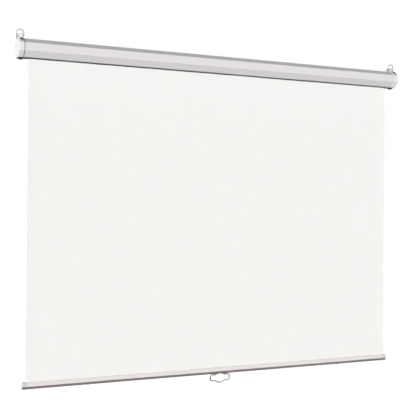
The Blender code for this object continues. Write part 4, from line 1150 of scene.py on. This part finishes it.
@dataclass
class Screen:
    """The white cloth: its turns on the roller, the hanging sheet and the hem round the rod."""

    thickness: float = 0.00042
    roller_y: float = -0.0497
    roller_z: float = 0.001
    wrap_step: float = 0.0008
    edge_curl: float = 0.0005
    curl_width: float = 0.030
    hem_radius: float = 0.0047
    columns: int = 96
    rows: int = 72

    def build(self) -> None:
        wraps = self.build_wraps()
        hem = self.build_hem()
        self.build_cloth()

    def build_wraps(self):
        """Winds the turns that stay on the roller.

        Returns:
            The piece, with its turns stepped at each end.
        """
        low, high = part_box("fabric_wraps")
        inner, outer = 0.0153, 0.0163
        layers = [inner + i * (outer - inner) / 2 for i in range(3)]
        profile = [(low.x + 0.0014, layers[0]), (low.x + 0.0014, layers[1])]
        profile += [(low.x, layers[1]), (low.x, layers[2]), (high.x, layers[2]), (high.x, layers[1])]
        profile += [(high.x - 0.0014, layers[1]), (high.x - 0.0014, layers[0]), profile[0]]
        axis = Vector((0, self.roller_y, self.roller_z))
        shape = turned(profile, axis, Vector((1, 0, 0)), 72)
        return piece("screen_wraps", shape, CLOTH, "roller", "fabric_wraps")

    def build_hem(self):
        """Sews the loop of cloth round the hem rod.

        Returns:
            The piece: a tube that is open under the cloth, where it is sewn.
        """
        low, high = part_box("hem_rod")
        y, z = (low.y + high.y) / 2, (low.z + high.z) / 2
        shape = bmesh.new()
        start = shape.verts.new((-0.855, y, z + self.hem_radius))
        bmesh.ops.spin(
            shape,
            geom=[start],
            cent=(0, y, z),
            axis=(1, 0, 0),
            angle=math.radians(345),
            steps=40,
        )
        edges = list(shape.edges)
        swept = bmesh.ops.extrude_edge_only(shape, edges=edges)["geom"]
        bmesh.ops.translate(shape, vec=(1.71, 0, 0), verts=parts(swept, Vert))
        bmesh.ops.remove_doubles(shape, verts=shape.verts, dist=TINY)
        bmesh.ops.recalc_face_normals(shape, faces=shape.faces)
        bmesh.ops.solidify(shape, geom=shape.faces[:], thickness=self.thickness)
        return piece("hem_sleeve", shape, CLOTH, "bar")

    def build_cloth(self) -> None:
        """Hangs the sheet between the roller and the bar.
        """
        low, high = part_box("screen_fabric")
        y = (low.y + high.y) / 2
        bottom = low.z + 0.0005
        shape = bmesh.new()
        bmesh.ops.create_grid(shape, x_segments=self.columns, y_segments=self.rows, size=0.5)
        place = Matrix(
            (
                (high.x - low.x, 0, 0, 0),
                (0, 0, -1, y),
                (0, high.z - bottom, 0, (high.z + bottom) / 2),
                (0, 0, 0, 1),
            )
        )
        bmesh.ops.transform(shape, matrix=place, verts=shape.verts)
        for vert in shape.verts:
            from_edge = min(vert.co.x - low.x, high.x - vert.co.x) / self.curl_width
            drawn = min(1.0, (high.z - vert.co.z) / 0.15, (vert.co.z - bottom) / 0.10)
            if from_edge < 1:
                vert.co.y -= self.edge_curl * (1 - from_edge) ** 2 * max(0.0, drawn)
        bmesh.ops.recalc_face_normals(shape, faces=shape.faces)
        bmesh.ops.solidify(shape, geom=shape.faces[:], thickness=self.thickness)
        shift = y - sum(v.co.y for v in shape.verts) / len(shape.verts)
        bmesh.ops.translate(shape, vec=(0, shift, 0), verts=shape.verts)
        cloth = piece("screen_cloth", shape, CLOTH, "case", "screen_fabric")
        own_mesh(cloth)


@dataclass
class Bar:
    """The bar on the hem: a light slat with end caps, the dark ballast rail under it and its rod."""

    top_bevel: float = 0.0018
    slot: float = 0.0030
    channel: float = 0.0052
    cap_rim: float = 0.0012
    rail_bevel: float = 0.0025
    slit_end: float = 0.8565

    def build(self) -> None:
        """Builds the slat, the rail, the rod, the caps and the rail screws."""
        self.build_slat()
        self.build_rail()
        self.build_rod()
        for side in Side:
            self.build_cap(side)
            self.build_rail_screw(side)

    def outline(self) -> list[Point]:
        """The slat's outer section, from its front upper bevel round to the back one."""
        low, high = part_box("slat")
        bevel = self.top_bevel
        return [
            (low.y + bevel, high.z),
            (low.y, high.z - bevel),
            (low.y, low.z),
            (high.y, low.z),
            (high.y, high.z - bevel),
            (high.y - bevel, high.z),
        ]

    def channel_points(self) -> list[Point]:
        """The round channel inside the slat, from the slot's back lip down and round to its front."""
        low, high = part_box("slat")
        y, z = (low.y + high.y) / 2, (low.z + high.z) / 2
        half = self.slot / 2
        lip = math.acos(half / self.channel)
        turn = math.pi + 2 * lip
        steps = 30
        angles = [lip - turn * i / steps for i in range(steps + 1)]
        ring = [(y + self.channel * math.cos(a), z + self.channel * math.sin(a)) for a in angles]
        return [(y + half, high.z), *ring, (y - half, high.z)]

    def build_slat(self) -> None:
        """Presses the slat's section and softens its edges."""
        low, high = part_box("slat")
        shape = prism([*self.outline(), *self.channel_points()], low.x, high.x)
        middle = (low.y + high.y) / 2

        def outside(edge: Edge) -> bool:
            """Picks the long edges on the slat's outside."""
            far = all(abs(v.co.y - middle) > 0.003 for v in edge.verts)
            return runs_along_x(edge) and far

        rounded(shape, outside, 0.0007, 3)
        flatten_shading(piece("extruded_slat", shape, SLAT_COAT, "bar", "slat"))

    def build_rail(self) -> None:
        """Presses the ballast rail's section, with bevelled lower edges."""
        low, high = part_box("ballast_rail")
        bevel = self.rail_bevel
        section = [
            (low.y, high.z),
            (low.y, low.z + bevel),
            (low.y + bevel, low.z),
            (high.y - bevel, low.z),
            (high.y, low.z + bevel),
            (high.y, high.z),
        ]
        shape = rounded(prism(section, low.x, high.x), any_edge, 0.0005, 3)
        flatten_shading(piece("painted_ballast_rail", shape, RAIL_PAINT, "bar", "ballast_rail"))

    def build_rod(self) -> None:
        """Turns the wooden rod in the hem."""
        low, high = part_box("hem_rod")
        radius, edge = (high.z - low.z) / 2, 0.0006
        length = high.x - low.x
        profile = [(0.0, 0.0), (0.0, radius - edge), (edge, radius)]
        profile += [(length - edge, radius), (length, radius - edge), (length, 0.0)]
        base = Vector((low.x, (low.y + high.y) / 2, (low.z + high.z) / 2))
        piece("hem_dowel", turned(profile, base, Vector((1, 0, 0)), 32), DOWEL, "bar", "hem_rod")

    def build_cap(self, side: Side) -> None:
        """Moulds one slat cap, with a slit that the cloth's edge stands in.

        Args:
            side: which end of the slat it closes.
        """
        low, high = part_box("slat")
        cap_low, cap_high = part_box("slat_cap_right")
        start = high.x + GAP
        cap = prism(self.outline(), start, cap_high.x)
        rounded(cap, runs_along_x, 0.0007, 3)
        rounded(cap, lambda e: all(v.co.x > cap_high.x - TINY for v in e.verts), self.cap_rim, 4)
        middle, centre_z = (low.y + high.y) / 2, (low.z + high.z) / 2
        spigot_radius = self.channel - 0.0004
        profile = [(0.0, 0.0), (0.0, spigot_radius - 0.0006), (0.0006, spigot_radius)]
        reach = start - cap_low.x + 0.002
        profile += [(reach, spigot_radius), (reach, 0.0)]
        spigot = turned(profile, Vector((cap_low.x, middle, centre_z)), Vector((1, 0, 0)), 28)
        slits = (
            block(
                (cap_low.x - 0.004, middle - self.slot / 2, centre_z + 0.0042),
                (self.slit_end, middle + self.slot / 2, high.z + 0.004),
            )
            for _ in range(2)
        )
        shape = merged(carved(cap, next(slits)), carved(spigot, next(slits)))
        name = side.named("slat_cap")
        cap_piece = piece(side.named("moulded_slat_cap"), mirrored(shape, side), SLAT_CAP_PLASTIC, "bar", name)
        flatten_shading(cap_piece)

    def build_rail_screw(self, side: Side) -> None:
        """Turns the screw that holds the rail to the slat.

        Args:
            side: which half of the bar it is in.
        """
        low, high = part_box("rail_screw_right")
        rail_low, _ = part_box("ballast_rail")
        seat = Vector(((low.x + high.x) / 2, (low.y + high.y) / 2, rail_low.z - GAP))
        screw = pan_head_screw(seat, Vector((0, 0, 1)), 0.0032, 0.0018, 0.0015, high.z - seat.z)
        name = side.named("rail_screw")
        piece(side.named("pan_head_rail_screw"), mirrored(screw, side), BLACK_SCREW, "bar", name)


@dataclass
class PullHandle:
    """The wire pull handle, the two clips that it swings in and their screws."""

    middle_x: float = -0.007
    wire: float = 0.0022
    end_x: float = 0.019
    side_drop: float = 0.0256
    low_drop: float = 0.0361
    bulge_half: float = 0.024
    top_bend: float = 0.009
    side_bend: float = 0.009
    bulge_bend: float = 0.012
    plate: float = 0.0010
    strap: float = 0.0010
    clip_x: float = 0.026
    clip_length: float = 0.012
    screw_x: float = 0.0145

    def build(self) -> None:
        """Builds the wire, the clips and their screws."""
        self.build_wire()
        for side in Side:
            self.build_clip(side)
            self.build_screw(side)

    def axis(self) -> Vector:
        """The middle of the handle's hinge."""
        low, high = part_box("pull_handle")
        return Vector((self.middle_x, (low.y + high.y) / 2, high.z - self.wire))

    def build_wire(self) -> None:
        """Bends the wire: up the sides and into the clips, with a dip in the middle."""
        low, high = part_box("pull_handle")
        axis = self.axis()
        half = (high.x - low.x) / 2 - self.wire
        side_z, low_z = axis.z - self.side_drop, axis.z - self.low_drop
        places = [
            (self.end_x, axis.z),
            (half, axis.z),
            (half, side_z),
            (self.bulge_half, side_z),
            (0.0, low_z),
            (-self.bulge_half, side_z),
            (-half, side_z),
            (-half, axis.z),
            (-self.end_x, axis.z),
        ]
        corners = [Vector((axis.x + x, axis.y, z)) for x, z in places]
        bulge = [self.bulge_bend] * 3
        radii = [self.top_bend, self.side_bend, *bulge, self.side_bend, self.top_bend]
        piece("plated_pull_handle", bent_wire(corners, radii, self.wire), HANDLE_PLATE, "handle", "pull_handle")

    def build_clip(self, side: Side) -> None:
        """Presses one clip: a plate under the rail, with a strap round the wire.

        Args:
            side: which end of the handle it holds.
        """
        node = side.named("handle_clip")
        low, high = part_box(node)
        axis = self.axis()
        plate = block((low.x, low.y, high.z - self.plate), high)
        rounded(plate, lambda e: abs(e.verts[0].co.z - e.verts[1].co.z) > self.plate / 2, 0.0025, 5)
        inner = self.wire + GAP
        outer = inner + self.strap
        middle = axis.x + side.value * self.clip_x
        start, end = middle - self.clip_length / 2, middle + self.clip_length / 2
        neck = (inner + outer) / 2
        lift = math.acos(neck / outer)
        steps = 24
        turn = math.pi + 2 * lift
        angles = [lift - turn * i / steps for i in range(steps + 1)]
        outside = [(axis.y + outer * math.cos(a), axis.z + outer * math.sin(a)) for a in angles]
        top = high.z - self.plate / 2
        section = [(axis.y + neck, top), *outside, (axis.y - neck, top)]
        strap = prism(section, start, end)
        rounded(strap, lambda e: not runs_along_x(e) and all(v.co.z < top - TINY for v in e.verts), 0.0003, 2)
        bore = turned(
            [(0.0, 0.0), (0.0, inner), (0.03, inner), (0.03, 0.0)],
            Vector((middle - 0.015, axis.y, axis.z)),
            Vector((1, 0, 0)),
            32,
        )
        shape = merged(plate, carved(strap, bore))
        flatten_shading(piece(side.named("pressed_handle_clip"), shape, ZINC, "bar", node))

    def build_screw(self, side: Side) -> None:
        """Turns the screw of one clip.

        Args:
            side: which clip it holds.
        """
        node = side.named("clip_screw")
        low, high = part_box(node)
        _, clip_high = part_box(side.named("handle_clip"))
        seat = Vector(((low.x + high.x) / 2, (low.y + high.y) / 2, clip_high.z - self.plate - GAP))
        screw = pan_head_screw(seat, Vector((0, 0, 1)), 0.0032, 0.0018, 0.0015, high.z - seat.z)
        piece(side.named("pan_head_clip_screw"), screw, BLACK_SCREW, "bar", node)


@dataclass
class RollerDrive:
    """The roller and its spring drive, out of sight in the case."""

    turns: int = 22
    coil: float = 0.011
    wire: float = 0.0012
    steps_a_turn: int = 24

    kept = {
        BRIGHT_STEEL: ("roller_tube", "spindle", "ratchet_wheel", "pawl_upper", "pawl_lower"),
        ZINC: ("roller_bracket_left", "roller_bracket_right", "pawl_pin_upper", "pawl_pin_lower"),
        NYLON: ("spring_ferrule", "idle_plug", "spring_anchor", "idle_bush"),
        BLACK_SCREW: (
            "bracket_screw_left_upper",
            "bracket_screw_left_lower",
            "bracket_screw_right_upper",
            "bracket_screw_right_lower",
        ),
    }

    def build(self) -> None:
        """Dresses the nodes that stay and winds the spring."""
        for finish, nodes in self.kept.items():
            for node in nodes:
                dress_node(node, finish)
        self.build_spring()

    def build_spring(self) -> None:
        """Winds the torsion spring as one smooth helix."""
        low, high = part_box("torsion_spring")
        y, z = (low.y + high.y) / 2, (low.z + high.z) / 2
        steps = self.turns * self.steps_a_turn
        travel = high.x - low.x - 2 * self.wire
        shape = bmesh.new()
        bmesh.ops.create_circle(shape, cap_ends=False, radius=self.wire, segments=10)
        bmesh.ops.translate(shape, vec=(low.x + self.wire, y + self.coil, z), verts=shape.verts)
        bmesh.ops.spin(
            shape,
            geom=list(shape.edges) + list(shape.verts),
            cent=(0, y, z),
            axis=(1, 0, 0),
            dvec=(travel / steps, 0, 0),
            angle=2 * math.pi * self.turns,
            steps=steps,
        )
        bmesh.ops.holes_fill(shape, edges=shape.edges, sides=0)
        piece("wound_torsion_spring", shape, SPRING_STEEL, "case", "torsion_spring")


# Studio


class Reach(Enum):
    """What a lamp lights."""

    ALL = "everything"
    HIGH = "the case and what hangs on it"
    LOW = "the cloth and the bar"


@dataclass(frozen=True)
class Lamp:
    """A distant soft lamp.

    azimuth is how far round from -Y towards -X it stands, and elevation its height, in degrees.
    """

    name: str
    azimuth: float
    elevation: float
    strength: float
    spread: float
    reach: Reach = Reach.ALL

    def build(self, low_pieces: bpy.types.Collection, high_pieces: bpy.types.Collection) -> None:
        """Hangs the lamp.

        Args:
            low_pieces: the cloth and the bar.
            high_pieces: the case and all that hangs on it, but not the cloth.
        """
        data = bpy.data.lights.new(self.name, "SUN")
        data.energy = self.strength
        data.angle = math.radians(self.spread)
        lamp = bpy.data.objects.new(self.name, data)
        round_, up = math.radians(self.azimuth), math.radians(self.elevation)
        towards = Vector(
            (-math.sin(round_) * math.cos(up), -math.cos(round_) * math.cos(up), math.sin(up))
        )
        lamp.rotation_euler = towards.to_track_quat("Z", "Y").to_euler()
        lamp.location = towards * 6
        lamp.visible_glossy = False  # a gloss mirrors the room instead, so that no pale face clips
        bpy.context.scene.collection.objects.link(lamp)
        if self.reach is Reach.LOW:
            lamp.light_linking.receiver_collection = low_pieces
        elif self.reach is Reach.HIGH:
            lamp.light_linking.receiver_collection = high_pieces


@dataclass(frozen=True)
class Viewpoint:
    """Where the photograph was taken from: front left, level with the middle of the cloth."""

    place: tuple[float, float, float] = (-1.7214, -3.4043, -0.6122)
    yaw: float = 25.559  # degrees from +Y towards +X
    pitch: float = 0.462
    roll: float = 0.507
    lens: float = 78.804
    sensor: float = 36.0

    def build(self) -> None:
        """Sets up the camera and makes it the scene's own."""
        yaw, pitch, roll = (math.radians(a) for a in (self.yaw, self.pitch, self.roll))
        level = Vector((math.sin(yaw), math.cos(yaw), 0))
        forward = level * math.cos(pitch) + Vector((0, 0, math.sin(pitch)))
        up = Vector((0, 0, math.cos(pitch))) - level * math.sin(pitch)
        right = Vector((math.cos(yaw), -math.sin(yaw), 0))
        axes = (
            right * math.cos(roll) + up * math.sin(roll),
            up * math.cos(roll) - right * math.sin(roll),
            -forward,
        )
        data = bpy.data.cameras.new("viewpoint")
        data.lens, data.sensor_width, data.clip_end = self.lens, self.sensor, 100.0
        camera = bpy.data.objects.new("viewpoint", data)
        camera.matrix_world = Matrix.Translation(self.place) @ Matrix(axes).transposed().to_4x4()
        bpy.context.scene.collection.objects.link(camera)
        bpy.context.scene.camera = camera


@dataclass(frozen=True)
class Studio:
    """A white room: a pale floor far below, a soft lamp from the front left and one from behind.

    The photo's lamp stands at half the screen's height, so that it lights the case from a little
    below and the bar from a little above. Two distant lamps share that work.
    """

    floor_z: float = -2.2
    floor_half: float = 30.0
    ambient: float = 0.045
    dark_gloss: float = 0.16
    bright_front: tuple[float, float, float] = (-0.40, -0.88, 0.27)
    bright_left: tuple[float, float, float] = (-1.0, 0.0, 0.0)
    front_gloss: float = 1.2
    left_gloss: float = 0.7
    lamps: tuple[Lamp, ...] = (
        Lamp("softbox_to_case", 50.0, -5.0, 4.74, 25.0, Reach.HIGH),
        Lamp("softbox_to_cloth_and_bar", 50.0, 6.0, 4.93, 6.0, Reach.LOW),
        Lamp("rear_fill", 211.0, 20.0, 3.2, 30.0),
    )

    def build(self) -> None:
        """Builds the room, the lamps and the camera."""
        self.build_world()
        self.build_floor()
        low_pieces, high_pieces = self.sort_pieces()
        for lamp in self.lamps:
            lamp.build(low_pieces, high_pieces)
        Viewpoint().build()
        bpy.context.scene.view_settings.view_transform = "Standard"

    def sort_pieces(self) -> tuple[bpy.types.Collection, bpy.types.Collection]:
        """Sorts the pieces by which lamp lights them.

        Returns:
            The cloth and the bar's pieces, and all the others.
        """
        low = bpy.data.collections.new("cloth_and_bar")
        high = bpy.data.collections.new("case_and_hangers")
        for obj in bpy.data.objects:
            if obj.type == "MESH":
                on_bar = obj.parent is not None and obj.parent.name in ("body:bar", "body:handle")
                (low if on_bar or obj.name == "screen_cloth" else high).objects.link(obj)
        return low, high

    def build_world(self) -> None:
        """Makes the room white to look at, dim as a light, and brighter in front in a gloss."""
        world = bpy.data.worlds.new("white_room")
        bpy.context.scene.world = world
        world.use_nodes = True
        world.cycles.sampling_method = "NONE"
        tree = world.node_tree
        path = add_node(tree, "ShaderNodeLightPath")
        way = add_node(tree, "ShaderNodeTexCoord").outputs["Generated"]
        front, left = (
            add_node(
                tree,
                "ShaderNodeMapRange",
                {"From Min": dark, "From Max": bright, "To Min": self.dark_gloss, "To Max": most},
                {"Value": self.facing(tree, way, side)},
                interpolation_type="SMOOTHSTEP",
            ).outputs["Result"]
            for side, dark, bright, most in (
                (self.bright_front, -0.2, 0.9, self.front_gloss),
                (self.bright_left, -0.02, 0.35, self.left_gloss),
            )
        )
        mirrored_room = add_node(tree, "ShaderNodeMath", links={0: front, 1: left}, operation="MAXIMUM")
        lit_or_mirrored = add_node(
            tree,
            "ShaderNodeMix",
            {2: self.ambient},
            {0: path.outputs["Is Glossy Ray"], 3: mirrored_room.outputs["Value"]},
        )
        strength = add_node(
            tree,
            "ShaderNodeMix",
            {3: 1.0},
            {0: path.outputs["Is Camera Ray"], 2: lit_or_mirrored.outputs[0]},
        )
        background = tree.nodes["Background"]
        background.inputs["Color"].default_value = (1.0, 1.0, 1.0, 1.0)
        tree.links.new(strength.outputs[0], background.inputs["Strength"])

    def facing(self, tree, way, side: tuple[float, float, float]):
        """How far a direction points to one side of the room.

        Args:
            tree: the world's node tree.
            way: the socket with the direction.
            side: the direction of that side.

        Returns:
            The socket with the cosine of the angle between the two.
        """
        return add_node(
            tree, "ShaderNodeVectorMath", {1: side}, {0: way}, operation="DOT_PRODUCT"
        ).outputs["Value"]

    def build_floor(self) -> None:
        """Lays a pale floor that keeps the object's shadow and fades into the white room."""
        shape = bmesh.new()
        bmesh.ops.create_grid(shape, x_segments=1, y_segments=1, size=self.floor_half)
        bmesh.ops.translate(shape, vec=(0, 0, self.floor_z), verts=shape.verts)
        mesh = bpy.data.meshes.new("studio_floor")
        shape.to_mesh(mesh)
        shape.free()
        mesh.materials.append(self.floor_material())
        floor = bpy.data.objects.new("studio_floor", mesh)
        floor.visible_shadow = False
        bpy.context.scene.collection.objects.link(floor)

    def floor_material(self) -> bpy.types.Material:
        """Mixes the floor's own paint with the white of the room.

        Returns:
            The material.
        """
        material = bpy.data.materials.new("pale_studio_floor")
        material.use_nodes = True
        tree = material.node_tree
        paint = tree.nodes["Principled BSDF"]
        paint.inputs["Base Color"].default_value = linear("#4A4A4A")
        paint.inputs["Roughness"].default_value = 1.0
        paint.inputs["Specular IOR Level"].default_value = 0.0
        lit = add_node(tree, "ShaderNodeBsdfDiffuse", {"Color": linear("#E8E8E8")})
        own = add_node(tree, "ShaderNodeEmission", {"Strength": 0.78})
        pale = add_node(
            tree, "ShaderNodeAddShader", links={0: lit.outputs["BSDF"], 1: own.outputs["Emission"]}
        )
        white = add_node(tree, "ShaderNodeEmission", {"Strength": 1.0})
        place = add_node(tree, "ShaderNodeTexCoord").outputs["Object"]
        far = add_node(tree, "ShaderNodeVectorMath", links={0: place}, operation="LENGTH")
        fade = add_node(
            tree,
            "ShaderNodeMapRange",
            {"From Min": 3.6, "From Max": 6.5},
            {"Value": far.outputs["Value"]},
            interpolation_type="SMOOTHSTEP",
        )
        shown = add_node(
            tree,
            "ShaderNodeMixShader",
            links={0: fade.outputs["Result"], 1: pale.outputs["Shader"], 2: white.outputs["Emission"]},
        )
        seen = add_node(tree, "ShaderNodeLightPath").outputs["Is Camera Ray"]
        whole = add_node(
            tree,
            "ShaderNodeMixShader",
            links={0: seen, 1: paint.outputs["BSDF"], 2: shown.outputs["Shader"]},
        )
        below = add_node(tree, "ShaderNodeNewGeometry").outputs["Backfacing"]
        clear = add_node(tree, "ShaderNodeBsdfTransparent")
        one_sided = add_node(
            tree,
            "ShaderNodeMixShader",
            links={0: below, 1: whole.outputs["Shader"], 2: clear.outputs["BSDF"]},
        )
        output = tree.nodes["Material Output"]
        tree.links.new(one_sided.outputs["Shader"], output.inputs["Surface"])
        return material


def main() -> None:
    """Builds the object's sub-assemblies and the studio, in order."""
    logging.basicConfig(level=logging.INFO, format="%(name)s: %(message)s")
    Case().build()
    for side in Side:
        Hanger(side).build()
    Bar().build()
    PullHandle().build()
    Screen().build()
    RollerDrive().build()
    Studio().build()


if __name__ == "__main__":
    main()
